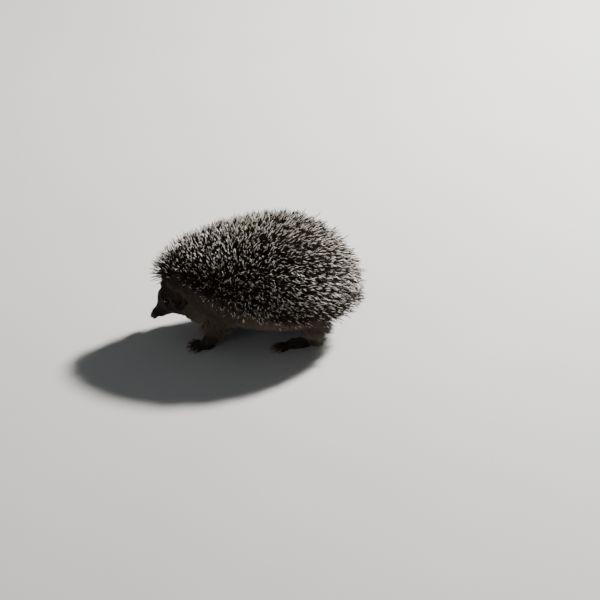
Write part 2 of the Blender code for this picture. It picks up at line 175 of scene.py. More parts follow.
def head_axes(x, y, z):
    """How far a point lies back from the snout tip, to the side, and up towards the crown."""
    dx, dz = x - SNOUT_TIP[0], z - SNOUT_TIP[2]
    return dx * BACKWARD[0] + dz * BACKWARD[2], y, dx * CROWNWARD[0] + dz * CROWNWARD[2]


def head_point(back, side, up, start=SNOUT_TIP):
    return start + BACKWARD * back + ASIDE * side + CROWNWARD * up


def eye_way(sign):
    """Which way an eye looks."""
    return unit(np.array((-0.42, sign * 0.80, 0.30)))


def toe_lines(leg):
    """Root, tip and forward direction of the five toes of a foot."""
    lines = []
    for i, length in enumerate(leg.toes):
        angle = (i - 2) * leg.spread * leg.sign + leg.turn
        forward = np.array((-math.cos(angle), math.sin(angle), 0.0))
        root = leg.paw + np.array((TOE_ROOT - leg.toes_ahead, math.sin(angle) * TOE_ROOT, TOE_Z - PAW_Z))
        lines.append((root, root + forward * length, forward))
    return lines


# --- the skin's form
def spaced(*stretches):
    """Grid lines over stretches of (start, end, spacing) that follow each other."""
    counts = [max(int(round((b - a) / (step * GRAIN))), 1) for a, b, step in stretches]
    lines = [np.linspace(a, b, n, endpoint=False) for (a, b, _), n in zip(stretches, counts)]
    return np.concatenate([*lines, [stretches[-1][1]]]).astype(np.float32)


BODY_GRID = (
    spaced((-0.1150, -0.0620, 0.00054), (-0.0620, 0.1120, 0.00190)),
    spaced(
        (-0.0660, -0.0460, 0.00170), (-0.0460, -0.0200, 0.00086), (-0.0200, 0.0200, 0.00060),
        (0.0200, 0.0460, 0.00086), (0.0460, 0.0660, 0.00170),
    ),
    spaced((-0.0012, 0.0110, 0.00060), (0.0110, 0.0620, 0.00076), (0.0620, 0.1280, 0.00180)),
)


class Flesh:
    """A field over a grid that is negative inside the body. Forms melt into each other where they meet."""

    def __init__(self, grid):
        self.grid = grid
        self.field = np.full([len(line) for line in grid], 0.05, np.float32)

    def add(self, shape, low, high, soft, side=1):
        """Melts in a form that fills a box at most; with side -1 it is cut out instead."""
        cuts = tuple(
            slice(max(np.searchsorted(line, a) - 1, 0), np.searchsorted(line, b) + 1)
            for line, a, b in zip(self.grid, np.array(low) - soft, np.array(high) + soft)
        )
        x, y, z = (line[cut] for line, cut in zip(self.grid, cuts))
        here, new = self.field[cuts], side * shape(x[:, None, None], y[None, :, None], z[None, None, :])
        share = np.clip(0.5 + side * 0.5 * (here - new) / soft, 0, 1)
        self.field[cuts] = here + (new - here) * share - side * soft * share * (1 - share)

    def carve(self, *form):
        self.add(*form, side=-1)


def ball(middle, radii, turn=np.eye(3)):
    """An ellipsoid's field; the rows of turn are its own axes."""
    radii = np.broadcast_to(np.asarray(radii, float), 3)

    def shape(x, y, z):
        away = (x - middle[0], y - middle[1], z - middle[2])
        own = [sum(axis[i] * away[i] for i in range(3)) for axis in turn]
        near = np.sqrt(sum((o / r) ** 2 for o, r in zip(own, radii)))
        slope = np.sqrt(sum((o / r ** 2) ** 2 for o, r in zip(own, radii)))
        return near * (near - 1) / np.maximum(slope, 1e-6)

    reach = np.sqrt(sum((np.asarray(axis) * r) ** 2 for axis, r in zip(turn, radii)))
    return shape, middle - reach, middle + reach


def rod(start, end, start_radius, end_radius):
    """A round bar from start to end, with ball ends."""
    along = end - start
    length = float(along @ along)

    def shape(x, y, z):
        away = (x - start[0], y - start[1], z - start[2])
        t = np.clip(sum(a * d for a, d in zip(along, away)) / length, 0, 1)
        gap = np.sqrt(sum((d - a * t) ** 2 for a, d in zip(along, away)))
        return gap - (start_radius + (end_radius - start_radius) * t)

    widest = max(start_radius, end_radius)
    return shape, np.minimum(start, end) - widest, np.maximum(start, end) + widest


def rods(line, start_radius, end_radius):
    return [rod(start, end, start_radius, end_radius) for start, end in pairs(line)]


def hollowed(shape, hole):
    return lambda x, y, z: np.maximum(shape(x, y, z), -hole(x, y, z))


def back_form(x, y, z):
    """The back under the spines: an egg, blunt at the rump, SPINE_DEPTH inside the spines' tips."""
    u = (x - MANTLE_MIDDLE_X) / (MANTLE_HALF - SPINE_DEPTH)
    girth = MANTLE_GIRTH + MANTLE_TAPER * np.clip(u, -1, MANTLE_FULL_AT)
    width = girth * MANTLE_WIDTH_SHARE - SPINE_DEPTH
    height = girth * MANTLE_HEIGHT_SHARE - SPINE_DEPTH
    lift = z - (MANTLE_AXIS_Z - MANTLE_RUMP_DROP * np.maximum(u, 0) ** 2)
    near = np.sqrt(u ** 2 + (y / width) ** 2 + (lift / height) ** 2)
    steep = np.sqrt((u / MANTLE_HALF) ** 2 + (y / width ** 2) ** 2 + (lift / height ** 2) ** 2)
    return near * (near - 1) / np.maximum(steep, 1e-3)


def head_sizes(back):
    """Half width, rise and drop of the bare head, a fur's depth inside its outline."""
    flare = smoothstep(back / HEAD_LENGTH)
    fur = 0.0011 + 0.0042 * flare
    brow = 0.0042 * np.exp(-(((back - 0.0250) / 0.0105) ** 2))
    bridge = 0.0006 * np.exp(-(((back - 0.0120) / 0.0050) ** 2))
    width = 0.0056 + 0.0214 * flare - fur - bridge
    rise = 0.0052 + 0.0183 * flare + brow - fur - bridge
    drop = 0.0047 + 0.0183 * flare - fur
    return width, rise, drop


def head_form(x, y, z):
    back, side, up = head_axes(x, y, z)
    width, rise, drop = head_sizes(back)
    tall = np.where(up > 0, rise, drop)
    near = np.sqrt((side / width) ** 2 + (up / tall) ** 2)
    round_part = (near - 1) * np.minimum(width, tall) * 0.92
    front = np.abs(np.minimum(back - 0.0035, 0))
    end = np.maximum(back - HEAD_LENGTH, 0)
    return np.sqrt(np.maximum(round_part, 0) ** 2 + front ** 2 + end ** 2) + np.minimum(round_part, 0)


def mouth_curve(sign):
    """The line of the lips on one side, from under the nose to below the eye."""
    points = []
    for back in MOUTH_STATIONS:
        width, _, drop = head_sizes(back)
        lean = 0.50 - 0.16 * back / MOUTH_STATIONS[-1]
        side = float(width) * math.sqrt(1 - lean ** 2)
        points.append(head_point(back, sign * side, -lean * float(drop)))
    return points


def ear_axes(sign):
    """An ear's opening direction, its side and its up, and the middle of its rim."""
    yaw, lean = sign * (math.pi / 2 + EAR_TURN), EAR_LEAN
    opening = np.array((math.cos(yaw) * math.cos(lean), math.sin(yaw) * math.cos(lean), math.sin(lean)))
    side = np.array((-math.sin(yaw), math.cos(yaw), 0.0))
    up = np.cross(opening, side)
    rim = EAR_CENTRE * np.array((1, sign, 1)) + opening * (EAR_RADII[0] / 2 + 0.0010)
    return opening, side, up, rim


def add_ear(flesh, sign):
    """A stalk, a thin cup cut off square at its rim, the ear canal, and the ridge and tab in front of it."""
    opening, side, up, rim = ear_axes(sign)
    outer, low, high = ball(rim, EAR_RADII, (opening, side, up))
    inner = ball(rim + opening * 0.0004, EAR_RADII - EAR_WALL, (opening, side, up))[0]
    wall = hollowed(outer, inner)

    def cup(x, y, z):
        ahead = sum(o * (p - r) for o, p, r in zip(opening, (x, y, z), rim))
        return np.maximum(wall(x, y, z), ahead)

    flesh.add(*rod(rim - opening * 0.0085, rim - opening * 0.0130, 0.0045, 0.0060), 0.0030)
    flesh.carve(inner, low, high, 0.0008)
    flesh.add(cup, low - 0.002, high + 0.002, 0.0009)
    flesh.carve(*ball(rim - opening * EAR_CANAL_BACK - up * EAR_CANAL_DROP, EAR_CANAL_RADIUS), 0.0012)
    front = side * sign
    for part in rods([rim - opening * a + front * b + up * c for a, b, c in EAR_RIDGE], 0.0008, 0.0007):
        flesh.add(*part, 0.0014)
    flesh.add(*ball(rim + front * 0.0060 - up * 0.0034, (0.0020, 0.0017, 0.0026)), 0.0016)


def add_leg(flesh, leg):
    line = [np.array((leg.paw[0] + back, leg.sign * out, height)) for height, back, out, _ in leg.stations]
    radii = [station[-1] for station in leg.stations]
    for part in zip(line, line[1:], radii, radii[1:]):
        flesh.add(*rod(*part), 0.0060)
    c, s = math.cos(leg.turn), math.sin(leg.turn)
    axes = np.array(((c, -s, 0), (s, c, 0), (0, 0, 1)))
    flesh.add(*ball(leg.paw + axes.T @ np.array((leg.palm_back, 0, 0)), leg.palm, axes), 0.0040)
    for root, tip, forward in toe_lines(leg):
        flesh.add(*rod(root, tip, TOE_RADIUS, TOE_RADIUS * 0.86), 0.0009)
        knuckle = root + forward * (0.62 * np.linalg.norm(tip - root)) + UP * 0.0008
        flesh.add(*ball(knuckle, TOE_RADIUS * 0.98), 0.0010)


def swell(flesh, sign, place, radii, soft):
    back, side, up = place
    flesh.add(*ball(head_point(back, sign * side, up), radii), soft)


def add_face(flesh):
    for name, sign in SIDES:
        eye, outward = EYES[name], eye_way(sign)
        swell(flesh, sign, *CHEEK)
        swell(flesh, sign, *BROW)
        flesh.carve(*ball(eye + outward * 0.0026, 0.0032), 0.0022)
        lid, low, high = ball(eye, EYE_RADIUS + 0.0009)
        opening = ball(eye + outward * 0.0028, (0.0030, 0.0030, 0.0025))[0]
        flesh.add(hollowed(lid, opening), low, high, 0.0010)
        flesh.carve(*ball(eye, EYE_RADIUS - 0.00020), 0.0002)
        for part in rods(mouth_curve(sign), 0.00075, 0.00060):
            flesh.carve(*part, 0.0008)
        swell(flesh, sign, *LIP)
    flesh.add(*rod(head_point(0.0085, 0, -0.0046), head_point(0.0330, 0, -0.0120), 0.0022, 0.0060), 0.0040)


def make_flesh():
    flesh = Flesh(BODY_GRID)
    flesh.add(back_form, MANTLE_LOW - 0.06, MANTLE_HIGH + 0.01, 0.0100)
    flesh.add(*ball(*TRUNK), 0.0100)
    flesh.add(*ball(*NECK), 0.0100)
    flesh.add(head_form, (-0.1150, -0.0300, 0.0050), (-0.0400, 0.0300, 0.0900), 0.0070)
    add_face(flesh)
    for _, sign in SIDES:
        add_ear(flesh, sign)
    for leg in LEGS:
        add_leg(flesh, leg)
    flesh.add(*rod(*TAIL), 0.0040)
    flesh.field = np.maximum(flesh.field, -BODY_GRID[2][None, None, :])
    return flesh


def net_over(flesh):
    """A closed mesh of four-sided faces where the field is zero: one point in each cell that it crosses."""
    field, grid = flesh.field, flesh.grid
    inside = field < 0
    cells = np.array(field.shape) - 1
    steps = np.eye(3, dtype=int)
    corners = [np.array((i, j, k)) for i in (0, 1) for j in (0, 1) for k in (0, 1)]
    shifted = [tuple(slice(c, c + n) for c, n in zip(corner, cells)) for corner in corners]
    count = sum(inside[cut].astype(np.int8) for cut in shifted)
    at = np.argwhere((count > 0) & (count < 8))
    number = np.full(cells, -1, np.int32)
    number[tuple(at.T)] = np.arange(len(at))
    total, hits = np.zeros((len(at), 3)), np.zeros(len(at))
    for corner in corners:
        for step in steps[::-1]:
            ends = (at + corner).T, (at + corner + step).T
            if (corner + step).max() > 1:
                continue
            near, far = (field[tuple(end)] for end in ends)
            start, finish = (np.stack([g[i] for g, i in zip(grid, end)], 1) for end in ends)
            crossed = (near < 0) != (far < 0)
            t = np.where(crossed, near / np.where(crossed, near - far, 1), 0)[:, None]
            total += (start + (finish - start) * t) * crossed[:, None]
            hits += crossed
    faces = []
    for axis in range(3):
        across = [(axis + 1) % 3, (axis + 2) % 3]
        edge = np.argwhere(np.diff(inside, axis=axis))
        edge = edge[((edge[:, across] > 0) & (edge[:, across] < cells[across])).all(1)]
        one, two = steps[across]
        around = [edge - one * a - two * b for a, b in ((1, 1), (0, 1), (0, 0), (1, 0))]
        quads = np.stack([number[tuple(cell.T)] for cell in around], 1)
        faces.append(np.where(inside[tuple(edge.T)][:, None], quads, quads[:, ::-1]))
    return total / hits[:, None], np.concatenate(faces)


def relax(points, faces, rounds, share):
    """Evens out the net by moving each point part of the way to its neighbours' mean."""
    ends = np.concatenate([faces[:, [i, (i + 1) % 4]] for i in range(4)])
    degree = np.bincount(ends.ravel(), minlength=len(points))[:, None]
    for _ in range(rounds):
        total = np.zeros_like(points)
        for axis in range(3):
            total[:, axis] = np.bincount(ends[:, 0], points[ends[:, 1], axis], len(points))
            total[:, axis] += np.bincount(ends[:, 1], points[ends[:, 0], axis], len(points))
        points = points + (total / degree - points) * share
    return points


def mesh_object(name, points, faces):
    mesh = bpy.data.meshes.new(name)
    mesh.from_pydata(np.asarray(points, float).tolist(), [], faces)
    mesh.update()
    mesh.shade_smooth()
    made = bpy.data.objects.new(name, mesh)
    bpy.context.scene.collection.objects.link(made)
    return made


# --- how the coat grows on the skin
FLESH_NODES = ["mantle", "trunk", "neck", "head", "jaw", "ear_left", "ear_right", "tail"] + [
    f"{part}_{leg.name}" for leg in LEGS for part in ("leg", "paw")
]
FACE_ZONE, NECK_ZONE, FLANK_ZONE, BELLY_ZONE, LEG_ZONE = range(5)


def ripple(points, wavelength, seed):
    """A smooth wavy number between about -1 and 1 for each point, from a few crossing waves."""
    chance = np.random.default_rng(seed)
    total = np.zeros(len(points))
    for _ in range(6):
        wave = unit(chance.normal(size=3)) * 2 * math.pi / (wavelength * chance.uniform(0.7, 1.4))
        total += np.sin(points @ wave + chance.uniform(0, 2 * math.pi))
    return total / 2.6


def bump_at(values, middle, width):
    return np.exp(-(((values - middle) / width) ** 2))


def gap_to_line(points, start, end):
    """How far each point is from a straight line, and how far along the line it lies, from 0 to 1."""
    run = end - start
    share = np.clip((points - start) @ run / (run @ run), 0, 1)
    return np.linalg.norm(points - start - share[:, None] * run, axis=1), share


def laid(way, normals):
    """A direction for each point, laid flat onto the skin."""
    return unit(way - normals * np.sum(way * normals, axis=1, keepdims=True))


def blend_of(base, *layers):
    """Lays (amount, value) layers over base, each in turn."""
    result = base
    for amount, value in layers:
        amount = amount[:, None] if result.ndim == 2 else amount
        result = result + (np.asarray(value) - result) * amount
    return result


def mark_ears(at):
    """Marks the ears' cups, canals, fringes and fronts, and which way the hair on them lies."""
    at.near_ear = np.full(len(at.points), 9.0)
    at.hollow = at.deep = at.fringe = at.before_ear = at.ear_front = np.zeros(len(at.points))
    at.ear_way = np.zeros_like(at.points)
    for _, sign in SIDES:
        opening, across, over, rim = ear_axes(sign)
        own = (at.points - rim) @ np.stack((opening, across, over), 1)
        outer = np.linalg.norm((own + (0.0015, 0, 0)) / (EAR_RADII + 0.0008), axis=1)
        at.near_ear = np.minimum(at.near_ear, outer)
        within = np.linalg.norm(own / (EAR_RADII - EAR_WALL), axis=1)
        canal = np.linalg.norm(at.points - (rim - opening * EAR_CANAL_BACK - over * EAR_CANAL_DROP), axis=1)
        at.hollow = np.maximum(at.hollow, below(within, 1.08, 0.05) * (own[:, 0] < 0.0006))
        at.hollow = np.maximum(at.hollow, below(canal, EAR_CANAL_RADIUS + 0.0012, 0.0005))
        # The depth of each canal, which is painted near black as shade.
        at.deep = np.maximum(at.deep, below(canal, EAR_CANAL_RADIUS + 0.0006, 0.0016))
        rim_gap = np.abs(np.linalg.norm(own[:, 1:] / EAR_RADII[1:], axis=1) - 0.95)
        at.fringe = np.maximum(at.fringe, below(rim_gap, 0.16, 0.06) * above(own[:, 0], -0.0022, 0.0012))
        forward = own[:, 1] * sign
        close = (at.near_ear < 2.4) * (np.sign(at.y) == sign)
        before = close * below(at.near_ear, 2.2, 0.5) * above(forward, 0, 0.004)
        at.before_ear = np.maximum(at.before_ear, before)
        inner_side = above(at.normals @ across * -sign, -0.25, 0.4)
        front = above(forward, 0.0035, 0.002)
        at.ear_front = np.maximum(at.ear_front, close * inner_side * front)
        at.ear_way += (opening - across * sign * 1.1 * front[:, None]) * close[:, None]


def mark_parts(at):
    """Marks the parts of the body from 0 to 1: head, neck, underside, legs, tail and the face's details."""
    at.ear = below(at.near_ear, 1.12, 0.10)
    at.spiny = above(at.edge, 0.0015, 0.0020) * (1 - below(at.near_ear, 1.7, 0.3))
    at.head = below(at.back, 0.060, 0.016) * below(at.x, -0.052, 0.012) * below(at.z, 0.074, 0.006)
    at.head = at.head * (1 - at.ear)
    at.legs = at.paws = np.zeros(len(at.points))
    for leg in LEGS:
        middle_x = leg.paw[0] + np.interp(at.z, [0.009, 0.025, 0.044], [s[1] for s in reversed(leg.stations)])
        away = np.hypot(at.x - middle_x, (at.y - leg.paw[1]) * 1.1)
        at.legs = np.maximum(at.legs, below(away, 0.0185, 0.004) * below(at.z, 0.0300, 0.006))
        here = (np.abs(at.x - leg.paw[0] - leg.foot_back) < 0.045) * (np.abs(at.y - leg.paw[1]) < 0.02)
        at.paws = np.maximum(at.paws, below(at.z, 0.0098, 0.0022) * here)
    at.legs = np.maximum(at.legs, at.paws)
    off_tail, down_tail = gap_to_line(at.points, *TAIL[:2])
    at.tail = below(off_tail, TAIL[2] + 0.0012, 0.0010) * above(down_tail, 0.20, 0.2)
    at.under = above(-at.normals[:, 2], 0.25, 0.4) * (1 - at.head) * (1 - at.legs)
    at.neck = below(at.x, -0.028, 0.022) * (1 - at.head) * (1 - at.legs)
    at.pad = at.paws * above(-at.normals[:, 2], 0.2, 0.3)
    at.muzzle = at.head * below(at.back, 0.020, 0.010)
    at.lips = at.head * below(at.back, 0.0034, 0.0020)
    at.eye_gap = np.min([np.linalg.norm(at.points - eye, axis=1) for eye in EYES.values()], axis=0)
    at.lids = below(at.eye_gap, 0.0052, 0.0012)
    mouth_parts = [part for _, sign in SIDES for part in pairs(mouth_curve(sign))]
    at.mouth_gap = np.min([gap_to_line(at.points, *part)[0] for part in mouth_parts], axis=0)
    at.mouth = below(at.mouth_gap, 0.0011, 0.0005)


def fur_growth(at):
    """Which way the fur lies, how long and thick each lock is, and how closely they stand."""
    comb = np.zeros_like(at.points) + (1.0, 0.0, -0.28)
    comb[:, 2] -= 0.35 * np.clip(at.width / 0.05, 0, 1) * (1 - at.under)
    comb = blend_of(
        comb, (at.head, BACKWARD + np.stack([0 * at.x, np.sign(at.y) * 0.30, 0 * at.z - 0.12], 1)),
        (at.legs * (1 - at.paws), (0.25, 0.0, -1.0)), (at.paws, (-1.0, 0.0, -0.2)),
        (at.tail, (1.0, 0.0, -0.5)), (at.ear, at.ear_way + (0.1, 0.0, 0.5)),
    )
    comb[:, 1] += 0.20 * ripple(at.points, 0.020, 5)
    comb[:, 2] += 0.16 * ripple(at.points, 0.016, 6)
    wave = ripple(at.points, 0.010, 7)
    lift = np.radians(24 - 7 * at.head + 6 * at.neck + 4 * wave - 6 * at.legs - 10 * at.ear)[:, None]
    lie = laid(comb, at.normals) * np.cos(lift) + at.normals * np.sin(lift)

    forehead = at.head * bump_at(at.back, 0.030, 0.010) * above(at.up, 0.004, 0.006)
    reach = blend_of(
        np.full(len(at.points), 0.0150),
        (at.under, 0.0110), (at.neck, 0.0125), (at.head, 0.0026 + 0.0085 * above(at.back, 0.008, 0.045)),
        (forehead, 0.0048), (at.muzzle, 0.0024), (below(at.mouth_gap, 0.0042, 0.0022), 0.0014),
        (at.lids, 0.0012), (at.legs, 0.0048), (at.paws, 0.0020), (at.tail, 0.0030), (at.before_ear, 0.0030),
        (at.ear, 0.0020), (at.fringe * at.ear, 0.0026), (at.fringe * at.ear_front, 0.0046),
    )
    girth = blend_of(
        np.full(len(at.points), 0.00036), (at.head, 0.00026), (at.muzzle, 0.00017), (at.lids, 0.00015),
        (at.legs, 0.00026), (at.paws, 0.00018), (at.tail, 0.00020), (at.ear, 0.00017),
    )
    around_eye = below(at.eye_gap, 0.0038, 0.0003)
    bare = np.maximum.reduce([at.pad, at.lips, around_eye, at.z < 0.0009, 0.90 * at.hollow, at.mouth])
    cover = (1 - above(at.edge, 0.0040, 0.0030) * (1 - at.ear)) * (1 - bare)
    return {"fur_lie": lie, "fur_reach": reach, "fur_girth": girth, "fur_cover": np.clip(cover, 0, 1)}


def spine_growth(at):
    """The same for the spines, and how far along them they turn pale.

    They stand up over the shoulders, lean back over the rump and reach forwards over the brow.
    """
    x, z, edge, normals = at.x, at.z, at.edge, at.normals
    brow = below(x, -0.075, 0.025)
    hem = below(edge, 0.010, 0.010)
    low_rear = below(z, 0.092, 0.040) * above(x, -0.015, 0.050)
    lean = 0.06 + 0.36 * above(x, -0.060, 0.060) + 0.68 * above(x, -0.010, 0.075)
    lean *= above(x, -0.098, 0.030)
    drop = (0.42 - 1.05 * low_rear) * np.abs(normals[:, 1]) + 0.45 * np.clip(normals[:, 0], 0, 1)
    lie = normals + laid(np.stack([0 * x + 1.0, 0 * x, -drop], 1), normals) * lean[:, None]
    raised = 0.60 * below(x, 0.020, 0.050) * above(z, 0.062, 0.026)
    forwards = below(x, -0.035, 0.040) * above(edge, 0.003, 0.012)
    lie[:, 2] += np.maximum(raised, 0.75 * forwards)
    lie[:, 2] -= 0.30 * hem * above(x, -0.060, 0.040) * (1 - 0.8 * low_rear)
    lie[:, 2] -= 0.25 * hem * brow
    lie[:, 0] -= 0.34 * brow
    lie[:, 1] *= 1 - 0.62 * below(x, -0.055, 0.035)
    for i, (wavelength, share) in enumerate(((0.019, 0.10), (0.016, 0.15), (0.014, 0.15))):
        lie[:, i] += share * ripple(at.points, wavelength, 8 + i)
    lie = unit(lie)
    slant = np.clip(np.sum(lie * normals, axis=1), 0.64, 1.0)
    reach = (SPINE_DEPTH + SPINE_ROOT - 0.0004) / slant + 0.0022 * brow * below(edge, 0.030, 0.020)

    # Where the pale tips start. They start later near the skirt and low on the rear, as painted shade, and
    # earlier at the brow, as painted light.
    pale_from = 0.020 + 0.060 * above(x, 0.010, 0.050) + 0.035 * below(x, -0.020, 0.030) - 0.090 * brow
    pale_from += 0.075 * below(edge, 0.030, 0.022) * below(x, 0.065, 0.050) * (1 - brow)
    pale_from += 0.30 * below(edge, 0.0045, 0.0020) * brow
    pale_from += 0.085 * below(z, 0.074, 0.035) * above(x, 0, 0.030)
    return {
        "spine_lie": lie, "spine_reach": reach, "spine_girth": 0.00074 - 0.00008 * below(x, -0.080, 0.02),
        "spine_cover": at.spiny, "pale_from": pale_from,
    }


def colours(at):
    """The coat's colour, and the colour of the bare skin, which follows it."""
    grain = 0.5 + 0.5 * np.clip(ripple(at.points, 0.006, 11), -1, 1)
    cheek = at.head * bump_at(at.back, 0.047, 0.012) * below(at.up, 0.004, 0.010)
    cheek = cheek * above(at.width, 0.008, 0.008)
    collar = at.neck * below(at.z, 0.052, 0.012) * below(at.x, -0.040, 0.012) * above(at.width, 0.006, 0.01)
    mask = at.head * below(at.back, 0.037, 0.010) * above(at.up, -0.006, 0.006)
    # The flank, belly and neck browns carry painted shade: they are about a third darker than the coat's own
    # colour.
    coat = blend_of(
        np.tile((0.080, 0.058, 0.038), (len(at.points), 1)),
        (0.55 * grain, (0.140, 0.106, 0.072)), (at.under, (0.120, 0.092, 0.062)),
        (at.head, (0.078, 0.054, 0.036)), (0.85 * cheek, (0.270, 0.212, 0.150)),
        (0.55 * collar, (0.215, 0.168, 0.116)), (0.80 * mask, (0.034, 0.023, 0.016)),
        (at.muzzle, (0.040, 0.028, 0.021)), (at.lids, (0.014, 0.010, 0.008)),
        (at.legs, (0.062, 0.045, 0.032)), (at.paws, (0.046, 0.034, 0.027)), (at.pad, (0.062, 0.045, 0.040)),
        (at.ear, (0.085, 0.060, 0.043)), (at.tail, (0.070, 0.052, 0.040)),
    )
    # The skin among the spines and deep in the ear canals is near black as painted shade; the rest is the
    # skin's own colour.
    flesh = blend_of(
        coat * 0.42, (at.spiny, (0.016, 0.010, 0.006)), (at.pad, (0.075, 0.053, 0.047)),
        (at.lips, (0.018, 0.013, 0.012)), (at.hollow, (0.046, 0.031, 0.025)),
        (at.deep, (0.008, 0.005, 0.004)), (at.lids, (0.009, 0.007, 0.006)), (at.mouth, (0.010, 0.007, 0.006)),
    )
    return {"coat_colour": coat, "flesh_colour": flesh}


def survey(points, normals):
    """What grows at each point of the skin: how thick, how long, which way and in what colour."""
    at = SimpleNamespace(points=points, normals=normals)
    at.x, at.y, at.z = points.T
    at.back, _, at.up = head_axes(at.x, at.y, at.z)
    at.width = abs(at.y)
    cheek_rise = CHEEK_RISE * bump_at(at.x, CHEEK_RISE_X, CHEEK_RISE_WIDTH)
    at.edge = at.z - skirt_z(at.x) - cheek_rise + 0.0012 * ripple(points, 0.012, 3)
    mark_ears(at)
    mark_parts(at)
    marks = [np.maximum(at.legs, at.tail), np.maximum(at.head, at.ear), at.under, at.neck]
    zone = np.select([mark > 0.5 for mark in marks], [LEG_ZONE, FACE_ZONE, BELLY_ZONE, NECK_ZONE], FLANK_ZONE)
    return {**fur_growth(at), **spine_growth(at), **colours(at), "zone": zone}


def unwrap(points, faces):
    """A place on a flat plan for each face corner; body, head and feet each have a room of their own."""
    corner = points[faces]
    x, y, z = corner.mean(1).T
    body = corner - (0.010, 0.0, 0.055)
    back, side, up = head_axes(*corner.transpose(2, 0, 1))
    chart = np.where((head_axes(x, y, z)[0] < 0.050) & (x < -0.070), 1, 0)
    rooms = [((0.02, 0.02), (0.66, 0.96)), ((0.72, 0.52), (0.26, 0.46))]
    spins = [
        (np.arccos(np.clip(-body[..., 0] / np.linalg.norm(body, axis=-1), -1, 1)) / math.pi,
         np.arctan2(body[..., 1], -body[..., 2])),
        (np.clip(back / 0.055, 0, 1), np.arctan2(side, -up)),
    ]
    for i, leg in enumerate(LEGS):
        chart[(np.hypot(x - leg.paw[0] - leg.plan_back, y - leg.paw[1]) < 0.032) & (z < 0.022)] = 2 + i
        rooms.append(((0.72 + 0.14 * (i % 2), 0.02 + 0.25 * (i // 2)), (0.12, 0.22)))
        dx, dy = corner[..., 0] - leg.paw[0], corner[..., 1] - leg.paw[1]
        spins.append((np.clip((np.hypot(dy, dx) + corner[..., 2]) / 0.06, 0, 1), np.arctan2(dy, dx)))
    plan = np.zeros((*faces.shape, 2))
    for i, ((along, around), (place, size)) in enumerate(zip(spins, rooms)):
        turn = around / (2 * math.pi) + 0.5
        turn = np.where((turn.max(1, keepdims=True) - turn > 0.5), turn + 1, turn)
        here = chart == i
        plan[here, :, 0] = place[0] + size[0] * along[here]
        plan[here, :, 1] = place[1] + size[1] * turn[here] * 0.98
    return plan


def give(mesh, name, values):
    """Stores values on the mesh's points as an attribute of the kind that they need."""
    values = np.asarray(values)
    if values.ndim == 1:
        kind, key = ("INT", "value") if values.dtype.kind == "i" else ("FLOAT", "value")
    elif name.endswith("colour"):
        kind, key = "FLOAT_COLOR", "color"
        values = np.concatenate([values, np.ones((len(values), 1))], 1)
    else:
        kind, key = "FLOAT_VECTOR", "vector"
    mesh.attributes.new(name, kind, "POINT").data.foreach_set(key, values.ravel().astype(values.dtype))


def make_skin():
    points, faces = net_over(make_flesh())
    points = relax(points, faces, 1, 0.4)
    points[:, 2] = np.maximum(points[:, 2], 0.0)
    skin = mesh_object("skin", points, faces.tolist())
    normals = np.zeros(len(points) * 3, np.float32)
    skin.data.vertex_normals.foreach_get("vector", normals)
    for name, values in survey(points, normals.reshape(-1, 3).astype(float)).items():
        give(skin.data, name, values)
    layer = skin.data.uv_layers.new(name="plan")
    layer.uv.foreach_set("vector", unwrap(points, faces).ravel().astype(np.float32))
    return skin


# --- the coat: a strand repeated over the skin by Geometry Nodes
def ring_faces(rings, sides):
    """Four-sided faces between rings of points that follow each other."""
    return [
        (a + i, a + (i + 1) % sides, a + sides + (i + 1) % sides, a + sides + i)
        for a in range(0, (rings - 1) * sides, sides) for i in range(sides)
    ]


def strand(name, sides, profile, bend):
    """A closed strand of unit length along +Z that bends towards -X; profile is (height, radius)."""
    points = []
    for height, radius in profile[:-1]:
        for i in range(sides):
            angle = 2 * math.pi * i / sides
            points.append((radius * math.cos(angle) - bend * height ** 2, radius * math.sin(angle), height))
    tip, last = len(points), len(points) - sides
    points.append((-bend, 0, 1))
    faces = [tuple(reversed(range(sides)))] + ring_faces(len(profile) - 1, sides)
    faces += [(last + i, last + (i + 1) % sides, tip) for i in range(sides)]
    plan = [(0.5 + 0.5 * i / sides, 0.0) for i in reversed(range(sides))]
    for (low, _), (high, radius) in pairs(profile):
        for i in range(sides):
            left, right, middle = i / sides, (i + 1) / sides, (i + 0.5) / sides
            plan += [(left, low), (right, low)]
            plan += [(right, high), (left, high)] if radius else [(middle, high)]
    made = mesh_object(name, points, faces)
    give(made.data, "along", np.array([p[2] for p in points]))
    made.data.uv_layers.new(name="leaf").uv.foreach_set("vector", np.array(plan, np.float32).ravel())
    return made


